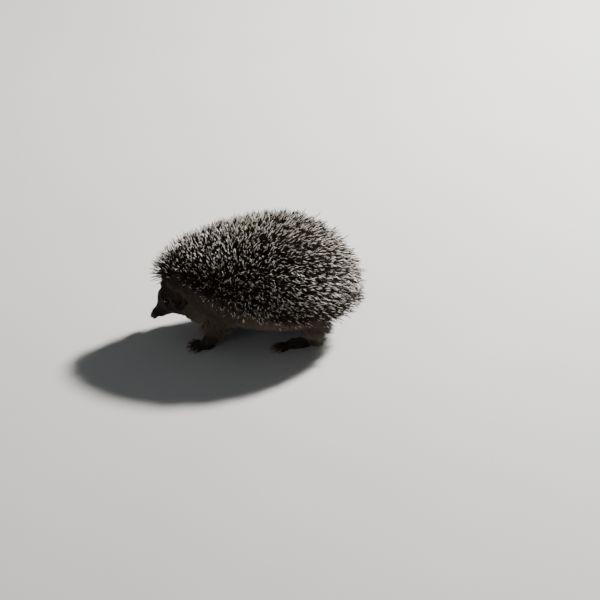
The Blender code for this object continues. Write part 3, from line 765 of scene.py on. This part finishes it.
class Tree:
    """A hand for building node trees: add a node, set its sockets, link what feeds it."""

    def __init__(self, tree):
        self.tree = tree

    def put(self, value, socket):
        if isinstance(value, bpy.types.NodeSocket):
            self.tree.links.new(value, socket)
        else:
            socket.default_value = value

    def add(self, kind, sockets=(), **settings):
        node = self.tree.nodes.new(kind)
        for key, value in settings.items():
            setattr(node, key, value)
        for key, value in dict(sockets).items():
            self.put(value, node.inputs[key])
        return node

    def get(self, kind, sockets=(), **settings):
        """A new node's first output."""
        return self.add(kind, sockets, **settings).outputs[0]

    def math(self, operation, *values):
        return self.get("ShaderNodeMath", dict(enumerate(values)), operation=operation)

    def scale(self, vector, by):
        return self.get("ShaderNodeVectorMath", {0: vector, "Scale": by}, operation="SCALE")

    def vector(self, operation, *values):
        return self.get("ShaderNodeVectorMath", dict(enumerate(values)), operation=operation)

    def read(self, name, kind="FLOAT"):
        return self.get("GeometryNodeInputNamedAttribute", {"Name": name}, data_type=kind)

    def store(self, geometry, name, value, kind, domain="POINT"):
        sockets = {"Geometry": geometry, "Name": name, "Value": value}
        return self.get("GeometryNodeStoreNamedAttribute", sockets, data_type=kind, domain=domain)

    def place(self):
        return self.add("ShaderNodeTexCoord").outputs["Object"]

    def noise(self, scale, detail, **more):
        sockets = {"Vector": self.place(), "Scale": scale, "Detail": detail, **more}
        return self.get("ShaderNodeTexNoise", sockets)

    def remap(self, value, low, high, start=0.0, end=1.0):
        """value, so that start gives low and end gives high."""
        return self.get("ShaderNodeMapRange", {0: value, 1: start, 2: end, 3: low, 4: high})

    def stray(self, value, chance, share):
        """value, moved up or down by half of share at most, as chance runs from 0 to 1."""
        return self.math("ADD", value, self.math("MULTIPLY", self.math("SUBTRACT", chance, 0.5), share))


def node_group(name, kind, ins, outs):
    """A new node group's tree and the outputs of its input node; ins and outs give each socket's type."""
    tree = bpy.data.node_groups.new(name, kind)
    for direction, sockets in (("INPUT", ins), ("OUTPUT", outs)):
        for label, socket in sockets.items():
            tree.interface.new_socket(label, in_out=direction, socket_type="NodeSocket" + socket)
    t = Tree(tree)
    return t, t.add("NodeGroupInput").outputs


CROWDING = 4.5
COAT_INPUTS = {
    "Geometry": "Geometry", "Strand": "Object", "Finish": "Material", "Spacing": "Float", "Zone": "Int",
    "Parts": "Int", "Part": "Int", "Scatter": "Float", "Length Spread": "Float", "Sink": "Float",
    "Patch": "Float", "Seed": "Int",
}


def coat_tree(kind):
    """Scatters a strand over the skin where kind_cover says, lying as kind_lie and kind_reach long."""
    t, given = node_group(kind + "_coat", "GeometryNodeTree", COAT_INPUTS, {"Geometry": "Geometry"})

    def chance(low, high, offset, data_type="FLOAT"):
        seed = t.math("ADD", given["Seed"], offset)
        node = t.add("FunctionNodeRandomValue", {"Seed": seed}, data_type=data_type)
        for socket in node.inputs:
            if socket.enabled and socket.name in ("Min", "Max"):
                t.put(low if socket.name == "Min" else high, socket)
        return next(socket for socket in node.outputs if socket.enabled)

    spacing = given["Spacing"]
    most = t.math("DIVIDE", CROWDING, t.math("MULTIPLY", spacing, spacing))
    sockets = {2: t.read("zone", "INT"), 3: given["Zone"]}
    wanted = t.get("FunctionNodeCompare", sockets, data_type="INT", operation="EQUAL")
    everywhere = t.math("LESS_THAN", given["Zone"], -0.5)
    cover = t.math("MULTIPLY", t.read(kind + "_cover"), t.math("MAXIMUM", wanted, everywhere))
    scattered = t.add("GeometryNodeDistributePointsOnFaces", {
        "Mesh": given["Geometry"], "Distance Min": spacing, "Density Max": most, "Density Factor": cover,
        "Seed": given["Seed"],
    }, distribute_method="POISSON").outputs
    points = t.store(scattered["Points"], "outwards", scattered["Normal"], "FLOAT_VECTOR")
    turn_of = t.math("MODULO", t.get("GeometryNodeInputIndex"), given["Parts"])
    other = t.math("GREATER_THAN", t.math("ABSOLUTE", t.math("SUBTRACT", turn_of, given["Part"])), 0.5)
    points = t.get("GeometryNodeDeleteGeometry", {"Geometry": points, "Selection": other}, domain="POINT")

    stray = t.scale(chance((-1, -1, -1), (1, 1, 1), 1, "FLOAT_VECTOR"), given["Scatter"])
    lie = t.vector("NORMALIZE", t.vector("ADD", t.read(kind + "_lie", "FLOAT_VECTOR"), stray))
    sockets = {0: lie, 1: t.read("outwards", "FLOAT_VECTOR")}
    turned = t.get("FunctionNodeAxesToRotation", sockets, primary_axis="Z", secondary_axis="X")
    roll = t.get("FunctionNodeAxisAngleToRotation", {"Axis": (0, 0, 1), "Angle": chance(-0.7, 0.7, 2)})
    turned = t.get("FunctionNodeRotateRotation", {0: turned, 1: roll}, rotation_space="LOCAL")
    spread = given["Length Spread"]
    vary = chance(t.math("SUBTRACT", 1.0, spread), t.math("ADD", 1.0, spread), 3)
    length = t.math("MULTIPLY", t.read(kind + "_reach"), vary)
    girth = t.math("MULTIPLY", t.read(kind + "_girth"), chance(0.8, 1.2, 4))
    size = t.get("ShaderNodeCombineXYZ", {0: girth, 1: girth, 2: length})

    points = t.store(points, "shade", chance(0.0, 1.0, 5), "FLOAT")
    points = t.store(points, "root", t.read("plan", "FLOAT_VECTOR"), "FLOAT_VECTOR")
    sunk = t.scale(lie, t.math("MULTIPLY", given["Sink"], -1.0))
    points = t.get("GeometryNodeSetPosition", {"Geometry": points, "Offset": sunk})
    shape = t.add("GeometryNodeObjectInfo", {"Object": given["Strand"]}, transform_space="ORIGINAL")
    sockets = {"Points": points, "Instance": shape.outputs["Geometry"], "Rotation": turned, "Scale": size}
    placed = t.get("GeometryNodeInstanceOnPoints", sockets)
    solid = t.get("GeometryNodeRealizeInstances", {"Geometry": placed})
    leaf = t.scale(t.read("leaf", "FLOAT_VECTOR"), given["Patch"])
    place = t.vector("ADD", t.read("root", "FLOAT_VECTOR"), leaf)
    solid = t.store(solid, "OFBake", place, "FLOAT2", "CORNER")
    solid = t.get("GeometryNodeSetMaterial", {"Geometry": solid, "Material": given["Finish"]})
    t.add("NodeGroupOutput", {"Geometry": solid})
    return t.tree


LEAST_Z = 0.0002
KEPT = {"along", "shade", "pale_from", "coat_colour", "OFBake", "position", "sharp_face", "material_index"}


def grow(name, skin, tree, **inputs):
    """One piece of coat: the tree's result as a plain mesh, no hair of it below the floor."""
    bearer = bpy.data.objects.new(name, skin.data)
    bpy.context.scene.collection.objects.link(bearer)
    modifier = bearer.modifiers.new("coat", "NODES")
    modifier.node_group = tree
    sockets = {item.name: item.identifier for item in tree.interface.items_tree if item.in_out == "INPUT"}
    for key, value in inputs.items():
        modifier[sockets[key.replace("_", " ").title()]] = value
    bpy.context.view_layer.update()
    graph = bpy.context.evaluated_depsgraph_get()
    mesh = bpy.data.meshes.new_from_object(bearer.evaluated_get(graph), depsgraph=graph)
    bearer.modifiers.clear()
    for spare in [a.name for a in mesh.attributes if a.name not in KEPT and not a.name.startswith(".")]:
        mesh.attributes.remove(mesh.attributes[spare])
    places = np.zeros(len(mesh.vertices) * 3, np.float32)
    mesh.vertices.foreach_get("co", places)
    places[2::3] = np.maximum(places[2::3], LEAST_Z)
    mesh.vertices.foreach_set("co", places)
    mesh.update()
    mesh.name = name
    mesh.shade_smooth()
    bearer.data = mesh
    return bearer


# --- eyes, nose, claws and whiskers
EYE_RINGS, EYE_SIDES = 25, 36
CORNEA_BULGE, CORNEA_REACH = 0.10, 0.62


def make_eye(name, sign):
    """A dark ball with the cornea's slight bulge, its lens cap turned outwards and forwards."""
    outward = eye_way(sign)
    side = unit(np.cross(outward, UP))
    up = np.cross(side, outward)
    points = []
    for row in range(1, EYE_RINGS + 1):
        angle = math.pi * row / (EYE_RINGS + 1)
        bulge = 1 + CORNEA_BULGE * float(below(angle, CORNEA_REACH, 0.45))
        for i in range(EYE_SIDES):
            turn = 2 * math.pi * i / EYE_SIDES
            flat = side * math.cos(turn) + up * math.sin(turn)
            points.append(EYES[name] + EYEBALL * bulge * (outward * math.cos(angle) + flat * math.sin(angle)))
    top, bottom, last = len(points), len(points) + 1, len(points) - EYE_SIDES
    points += [EYES[name] + outward * EYEBALL * (1 + CORNEA_BULGE), EYES[name] - outward * EYEBALL]
    faces = [(a, d, c, b) for a, b, c, d in ring_faces(EYE_RINGS, EYE_SIDES)]
    for i in range(EYE_SIDES):
        j = (i + 1) % EYE_SIDES
        faces += [(top, i, j), (last + j, last + i, bottom)]
    return mesh_object("eyeball_" + name, points, faces)


# The nose pad's swellings: how far back, aside and up from its middle, radii, and how softly they melt in.
NOSE_BRIDGE = ((0.0012, 0, 0.0000), (0.0046, 0.0042, 0.0038), 0.0010)
NOSE_WING = ((-0.0018, 0.0020, 0.0007), (0.0027, 0.0026, 0.0028), 0.0020)
NOSE_WING_EDGE = ((-0.0004, 0.0028, -0.0010), (0.0030, 0.0021, 0.0022), 0.0016)
NOSE_LIP = ((-0.0014, 0, -0.0024), (0.0022, 0.0020, 0.0018), 0.0016)
NOSTRIL = ((-0.0042, 0.0027, -0.0004), (0.0017, 0.0011, 0.0013), 0.0005)
NOSTRIL_SLIT = ((-0.0038, 0.0034, 0.0), (-0.0022, 0.0046, 0.0), (-0.0004, 0.0050, 0.0010))
NOSE_GROOVE = ((-0.0040, 0, 0.0026), (-0.0045, 0, -0.0010), (-0.0034, 0, -0.0044))


def make_nose():
    """The moist nose pad: two swollen wings with slit nostrils, a groove between them and a lip below."""
    pad = Flesh(tuple(spaced((a - 0.0016, b + 0.0030, 0.00020)) for a, b in zip(*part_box("nose"))))

    def place(sign, back, side, up):
        return head_point(back, sign * side, up, NOSE_MIDDLE)

    def form(sign, where, radii, soft):
        return *ball(place(sign, *where), radii, (BACKWARD, ASIDE, CROWNWARD)), soft

    pad.add(*form(1, *NOSE_BRIDGE))
    for _, sign in SIDES:
        pad.add(*form(sign, *NOSE_WING))
        pad.add(*form(sign, *NOSE_WING_EDGE))
    pad.add(*form(1, *NOSE_LIP))
    for _, sign in SIDES:
        pad.carve(*form(sign, *NOSTRIL))
        for part in rods([place(sign, *point) for point in NOSTRIL_SLIT], 0.00060, 0.00035):
            pad.carve(*part, 0.0005)
    for part in rods([place(1, *point) for point in NOSE_GROOVE], 0.00045, 0.00045):
        pad.carve(*part, 0.0010)
    points, faces = net_over(pad)
    return mesh_object("nose_pad", relax(points, faces, 2, 0.5), faces.tolist())


def sweep(path, radii, sides, flatten=1.0):
    """A closed bar along a path: round, or higher than it is wide when flatten is over 1."""
    ahead = unit(np.gradient(path, axis=0))
    across = unit(np.cross(ahead, UP))
    over = np.cross(across, ahead)
    turns = np.arange(sides) * 2 * math.pi / sides
    points = np.concatenate([
        p + r * (a * np.cos(turns)[:, None] + o * np.sin(turns)[:, None] * flatten)
        for p, r, a, o in zip(path, radii, across, over)
    ])
    end = tuple(range(len(points) - sides, len(points)))
    faces = [tuple(reversed(range(sides))), *ring_faces(len(path), sides), end]
    return points, [face[::-1] for face in faces], np.repeat(np.linspace(0, 1, len(path)), sides)


def make_claw(leg, number, line):
    """A horn claw that curves down to a blunt point just over the floor."""
    _, tip, forward = line
    t = np.linspace(-0.25, 1.0, 15)
    bare = np.clip(t, 0, 1)
    root_z = tip[2] + CLAW_ROOT_RISE
    path = tip + forward * (t * leg.claw)[:, None]
    fall = root_z - (CLAW_TIP_Z + CLAW_TIP_RADIUS)
    path[:, 2] = root_z + CLAW_ARCH * np.sin(bare * math.pi) - fall * bare ** 1.8
    radii = CLAW_RADIUS * np.sqrt(np.clip(1 - bare ** 1.7, 0, 1)) * 0.92 + CLAW_TIP_RADIUS * bare
    radii[:3] *= (0.72, 0.90, 0.98)
    points, faces, along = sweep(path, radii, 12, 1.18)
    claw = mesh_object(f"horn_{leg.name}_{number}", points, faces)
    give(claw.data, "along", along)
    return claw


# Rows of whiskers: how far back from the snout tip, the angle up from the side, and lengths in millimetres.
WHISKER_ROWS = (
    (0.0075, 0.20, (11, 13)), (0.0095, -0.05, (13, 16, 17)), (0.0115, -0.30, (15, 18, 19)),
    (0.0140, 0.10, (17, 20, 21)), (0.0165, -0.15, (18, 21)), (0.0190, 0.55, (14,)), (0.0300, 0.85, (13, 15)),
)


def make_whiskers():
    """Fine tapering hairs on the sides of the muzzle and over the eyes."""
    chance = np.random.default_rng(17)
    points, faces, along = [], [], []
    t = np.linspace(0, 1, 9)[:, None]
    for _, sign in SIDES:
        for back, height, lengths in WHISKER_ROWS:
            for i, length in enumerate(lengths):
                place = back + 0.0022 * i
                width, rise, _ = (float(size) for size in head_sizes(place))
                angle = height + chance.uniform(-0.12, 0.12)
                side, up = sign * width * math.cos(angle), rise * math.sin(angle)
                root = head_point(place, side * 0.94, up * 0.94)
                away = unit(
                    ASIDE * sign + BACKWARD * (0.65 + chance.uniform(-0.2, 0.3))
                    + CROWNWARD * (math.sin(angle) * 0.8 + chance.uniform(-0.15, 0.15))
                )
                reach = length * 0.001
                path = root + away * reach * t + (BACKWARD * 0.22 - UP * 0.16) * reach * t ** 2
                path[:, 2] += max(0.0012 - path[:, 2].min(), 0)
                hair = sweep(path, 0.00009 * (1 - t.ravel()) ** 0.8 + 0.00002, 5)
                faces += [tuple(v + len(points) for v in face) for face in hair[1]]
                points += hair[0].tolist()
                along += hair[2].tolist()
    whiskers = mesh_object("whiskers", points, faces)
    give(whiskers.data, "along", np.array(along))
    return whiskers


# --- finishes
PALEST = 0.96  # the most light that a hair or spine gives back
# The spines' colour along their length: the two stops at the root are dark brown as painted shade deep among
# the spines, then come the dark band and the pale tip.
SPINE_BANDS_AND_ROOT_SHADE = (
    (0.00, (0.050, 0.036, 0.025)), (0.26, (0.070, 0.051, 0.035)), (0.40, (0.040, 0.027, 0.018)),
    (0.71, (0.016, 0.011, 0.008)), (0.75, (0.360, 0.290, 0.220)), (0.79, (0.860, 0.795, 0.705)),
    (1.00, (0.920, 0.870, 0.795)),
)
EYE_STOPS = ((0.35, (0.0030, 0.0022, 0.0018)), (0.75, (0.0120, 0.0075, 0.0050)))
# The nose pad is lighter on the grain's heights and darker in its pits, as painted shade.
NOSE_STOPS = ((0.1, (0.0200, 0.0170, 0.0160)), (0.9, (0.0060, 0.0050, 0.0050)))
HORN_STOPS = ((0.1, (0.050, 0.033, 0.024)), (0.55, (0.120, 0.085, 0.058)), (1.0, (0.250, 0.195, 0.140)))
WHISKER_STOPS = ((0.0, (0.012, 0.009, 0.007)), (0.7, (0.030, 0.022, 0.016)), (1.0, (0.090, 0.070, 0.050)))
FLOOR_STOPS = ((0.2, (0.440, 0.436, 0.424)), (0.8, (0.474, 0.470, 0.457)))


def coat_tone():
    """Varies a colour from hair to hair and in drifts over the body, and darkens it towards the root."""
    ins = {"Colour": "Color", **dict.fromkeys(("Along", "Shade", "Root", "Tip", "Spread"), "Float")}
    t, given = node_group("coat_tone", "ShaderNodeTree", ins, {"Colour": "Color"})
    along = t.remap(given["Along"], given["Root"], given["Tip"])
    hair = t.stray(1.0, given["Shade"], given["Spread"])
    drift = t.stray(1.0, t.noise(160.0, 3.0), 0.56)
    toned = t.scale(given["Colour"], t.math("MULTIPLY", t.math("MULTIPLY", along, hair), drift))
    t.add("NodeGroupOutput", {"Colour": t.vector("MINIMUM", toned, (PALEST, PALEST, PALEST))})
    return t.tree


def skin_grain():
    """Small wrinkles and pores: a height for bump, and a mask that is high in the pits."""
    ins, outs = {"Pore Scale": "Float", "Wrinkle Scale": "Float"}, {"Height": "Float", "Pits": "Float"}
    t, given = node_group("skin_grain", "ShaderNodeTree", ins, outs)
    pores = t.get("ShaderNodeTexVoronoi", {"Vector": t.place(), "Scale": given["Pore Scale"]})
    wrinkle = t.noise(given["Wrinkle Scale"], 4.0, Distortion=0.6)
    folds = t.math("ABSOLUTE", t.math("SUBTRACT", wrinkle, 0.5))
    height = t.math("ADD", t.math("MULTIPLY", pores, 0.6), t.math("MULTIPLY", folds, 1.6))
    # The finishes also darken their colour by Pits, as painted shade in the pores and folds.
    t.add("NodeGroupOutput", {"Height": height, "Pits": t.remap(height, 1.0, 0.0, 0.05, 0.40)})
    return t.tree


class Finish(Tree):
    """A material's tree; what is the same all over the material is set on the shader itself."""

    def __init__(self, name, specular=0.5, sheen=0.0, coat=0.0):
        self.material = bpy.data.materials.new(name)
        self.material.use_nodes = True
        super().__init__(self.material.node_tree)
        self.tree.nodes.clear()
        sockets = {"Specular IOR Level": specular, "Sheen Weight": sheen, "Coat Weight": coat}
        self.shader = self.add("ShaderNodeBsdfPrincipled", sockets)
        self.add("ShaderNodeOutputMaterial", {"Surface": self.shader.outputs["BSDF"]})

    def attribute(self, name, output="Fac"):
        return self.add("ShaderNodeAttribute", attribute_name=name).outputs[output]

    def ramp(self, value, stops, smooth=False):
        """A colour ramp over value; stops are (place, colour)."""
        node = self.add("ShaderNodeValToRGB", {"Fac": value})
        node.color_ramp.interpolation = "EASE" if smooth else "LINEAR"
        while len(node.color_ramp.elements) < len(stops):
            node.color_ramp.elements.new(0.5)
        for element, (place, colour) in zip(node.color_ramp.elements, stops):
            element.position = place
            element.color = (*colour, 1)
        return node.outputs["Color"]

    def toned(self, tone, colour, root, tip, spread):
        """A coat's colour put through the shared tone."""
        return self.get("ShaderNodeGroup", {
            "Colour": colour, "Along": self.attribute("along"), "Shade": self.attribute("shade"),
            "Root": root, "Tip": tip, "Spread": spread,
        }, node_tree=tone)

    def grained(self, grain, pore_scale, wrinkle_scale):
        sockets = {"Pore Scale": pore_scale, "Wrinkle Scale": wrinkle_scale}
        return self.add("ShaderNodeGroup", sockets, node_tree=grain).outputs

    def wear(self, colour, rough, height=None, strength=0.0, depth=0.0):
        """Feeds the shader, with a bump where there is a height, and gives the material."""
        feeds = {"Base Color": colour, "Roughness": rough}
        if height is not None:
            sockets = {"Strength": strength, "Distance": depth, "Height": height}
            feeds["Normal"] = self.get("ShaderNodeBump", sockets)
        for key, value in feeds.items():
            self.put(value, self.shader.inputs[key])
        return self.material


def spine_finish(tone):
    t = Finish("spine_keratin", specular=0.30)
    fleck = t.noise(1400.0, 2.0)
    # The bands carry painted shade at the root, near the skirt and low on the rear, and painted light at the
    # brow.
    band = t.stray(t.stray(t.attribute("along"), t.attribute("shade"), 0.24), fleck, 0.06)
    bands_and_painted_shade = t.ramp(t.math("SUBTRACT", band, t.attribute("pale_from")), SPINE_BANDS_AND_ROOT_SHADE)
    return t.wear(t.toned(tone, bands_and_painted_shade, 0.72, 0.93, 0.92), t.remap(fleck, 0.34, 0.58), fleck, 0.25, 0.0003)


def fur_finish(tone):
    t = Finish("soft_fur", specular=0.28, sheen=0.12)
    strands = t.noise(2600.0, 2.0)
    # Part of the coat colour is painted shade, on the flanks, the belly and the neck.
    colour = t.toned(tone, t.attribute("coat_colour", "Color"), 0.50, 1.32, 0.75)
    return t.wear(colour, t.remap(strands, 0.52, 0.80), strands, 0.45, 0.0004)


def skin_finish(grain):
    t = Finish("hedgehog_skin", specular=0.07)
    pores = t.grained(grain, 2000.0, 420.0)
    cloud = t.remap(t.noise(420.0, 4.0), 0.65, 1.35, 0.3, 0.7)
    # The skin is darker in the pits and folds of its grain, which is painted shade, and varies in a random
    # cloud of tone.
    shade = t.math("MULTIPLY", cloud, t.remap(pores["Pits"], 1.1, 0.7))
    # The flesh colour is near black among the spines and in the ear canals: painted shade.
    colour = t.scale(t.attribute("flesh_colour", "Color"), shade)
    return t.wear(colour, t.remap(pores["Pits"], 0.66, 0.92), pores["Height"], 0.45, 0.0003)


def eye_finish():
    t = Finish("wet_eye", coat=0.2)
    cloud = t.noise(700.0, 3.0)
    return t.wear(t.ramp(cloud, EYE_STOPS), t.remap(cloud, 0.03, 0.08))


def nose_finish(grain):
    t = Finish("moist_nose", specular=0.45, coat=0.12)
    pores = t.grained(grain, 2300.0, 500.0)
    # The pad's colour is darker in the pits of its grain: painted shade.
    pits = pores["Pits"]
    return t.wear(t.ramp(pits, NOSE_STOPS), t.remap(pits, 0.40, 0.62), pores["Height"], 0.45, 0.0003)


def horn_finish():
    t = Finish("claw_horn")
    streak = t.noise(1800.0, 3.0)
    colour = t.ramp(t.stray(t.attribute("along"), streak, 0.3), HORN_STOPS, smooth=True)
    return t.wear(colour, t.remap(streak, 0.26, 0.50), streak, 0.3, 0.0002)


def whisker_finish():
    t = Finish("whisker_hair")
    return t.wear(t.ramp(t.attribute("along"), WHISKER_STOPS), 0.45)


def floor_finish():
    t = Finish("pale_floor", specular=0.2)
    return t.wear(t.ramp(t.noise(6.0, 3.0), FLOOR_STOPS), 0.85)


# --- the whole animal
SPINE_PROFILE = ((0.0, 0.30), (0.08, 0.42), (0.45, 0.52), (0.84, 0.46), (0.95, 0.24), (1.0, 0.0))
LOCK_PROFILE = ((0.0, 0.66), (0.30, 1.00), (0.70, 0.58), (1.0, 0.0))
PATCH = 0.003  # how large a strand's own plan is on the OFBake map
EVERYWHERE = -1
SPINE_COATS = (("spines", "spines", EVERYWHERE, 0.00172, 3, 4),)
# Each coat of fur: name, slot, zone, spacing, number of pieces, seed.
FUR_COATS = (
    ("fur_face", "fur", FACE_ZONE, 0.00037, 3, 20), ("fur_neck", "fur", NECK_ZONE, 0.00060, 1, 21),
    ("fur_flank", "fur", FLANK_ZONE, 0.00068, 2, 22), ("fur_belly", "fur", BELLY_ZONE, 0.00078, 2, 23),
    ("fur_legs", "dark_fur", LEG_ZONE, 0.00060, 2, 24),
)


def settle(piece, material, slot, *nodes):
    piece.data.materials.clear()
    piece.data.materials.append(material)
    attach(piece, "root")
    if nodes:
        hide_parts(*nodes)


def dress(skin, coats, tree, shape, material, **inputs):
    """Grows coats over the skin, in pieces small enough to keep whole."""
    for name, slot, zone, spacing, parts, seed in coats:
        for part in range(parts):
            piece = grow(
                f"{name}_{part + 1}", skin, tree, strand=shape, finish=material, spacing=spacing * GRAIN,
                zone=zone, parts=parts, part=part, patch=PATCH, seed=seed, **inputs,
            )
            settle(piece, material, slot)
    bpy.data.objects.remove(shape)


def make_animal():
    tone, grain = coat_tone(), skin_grain()
    skin = make_skin()
    dress(
        skin, SPINE_COATS, coat_tree("spine"), strand("spine_shape", 5, SPINE_PROFILE, 0.035),
        spine_finish(tone), scatter=0.44, length_spread=0.18, sink=SPINE_ROOT,
    )
    dress(
        skin, FUR_COATS, coat_tree("fur"), strand("lock_shape", 3, LOCK_PROFILE, 0.16), fur_finish(tone),
        scatter=0.16, length_spread=0.28, sink=0.0003,
    )
    settle(skin, skin_finish(grain), "fur", *FLESH_NODES)
    gloss, horn = eye_finish(), horn_finish()
    for name, sign in SIDES:
        settle(make_eye(name, sign), gloss, "eyes", "eye_" + name)
    settle(make_nose(), nose_finish(grain), "nose", "nose")
    for leg in LEGS:
        for number, line in enumerate(toe_lines(leg), 1):
            settle(make_claw(leg, number, line), horn, "claws", f"claw_{leg.name}_{number}")
    settle(make_whiskers(), whisker_finish(), "dark_fur")


# --- the studio
FLOOR_HALF = 4
LIGHT_AIM = Vector((0, 0, 0.05))
# Each light: name, place, size, watts, colour.
LIGHTS = (
    ("key", (1.15, 1.00, 1.30), 0.22, 178, (1.0, 0.985, 0.96)),
    ("fill", (-0.9, -1.6, 1.1), 0.45, 2.8, (0.93, 0.96, 1.0)),
)
SKY_COLOUR, SKY_STRENGTH = (0.86, 0.90, 0.95, 1), 0.16
CAMERA_AIM = Vector((0.0467, 0.0, 0.0380))
CAMERA_PITCH = math.radians(30)
CAMERA_DISTANCE = 3.0
CAMERA_LENS, CAMERA_SENSOR = 169.5, 36.0
CAMERA_NEAR, CAMERA_FAR = 0.05, 50


def look(name, data, place, aim):
    """An object for a light or camera that looks from place to aim."""
    made = bpy.data.objects.new(name, data)
    made.location = place
    made.rotation_euler = (aim - made.location).to_track_quat("-Z", "Y").to_euler()
    bpy.context.scene.collection.objects.link(made)
    return made


def make_studio():
    corners = [(x * FLOOR_HALF, y * FLOOR_HALF, 0) for x, y in ((-1, -1), (1, -1), (1, 1), (-1, 1))]
    floor = mesh_object("floor", corners, [(0, 1, 2, 3)])
    floor.data.materials.append(floor_finish())
    for name, place, size, watts, colour in LIGHTS:
        light = bpy.data.lights.new(name, "AREA")
        light.shape, light.size, light.energy, light.color = "DISK", size, watts, colour
        look(name, light, place, LIGHT_AIM)
    world = bpy.data.worlds.new("studio")
    world.use_nodes = True
    background = world.node_tree.nodes["Background"]
    background.inputs["Color"].default_value = SKY_COLOUR
    background.inputs["Strength"].default_value = SKY_STRENGTH
    bpy.context.scene.world = world


def make_camera():
    camera = bpy.data.cameras.new("camera")
    camera.lens, camera.sensor_width = CAMERA_LENS, CAMERA_SENSOR
    camera.clip_start, camera.clip_end = CAMERA_NEAR, CAMERA_FAR
    place = CAMERA_AIM + Vector((0, -math.cos(CAMERA_PITCH), math.sin(CAMERA_PITCH))) * CAMERA_DISTANCE
    bpy.context.scene.camera = look("camera", camera, place, CAMERA_AIM)


make_animal()
make_studio()
make_camera()
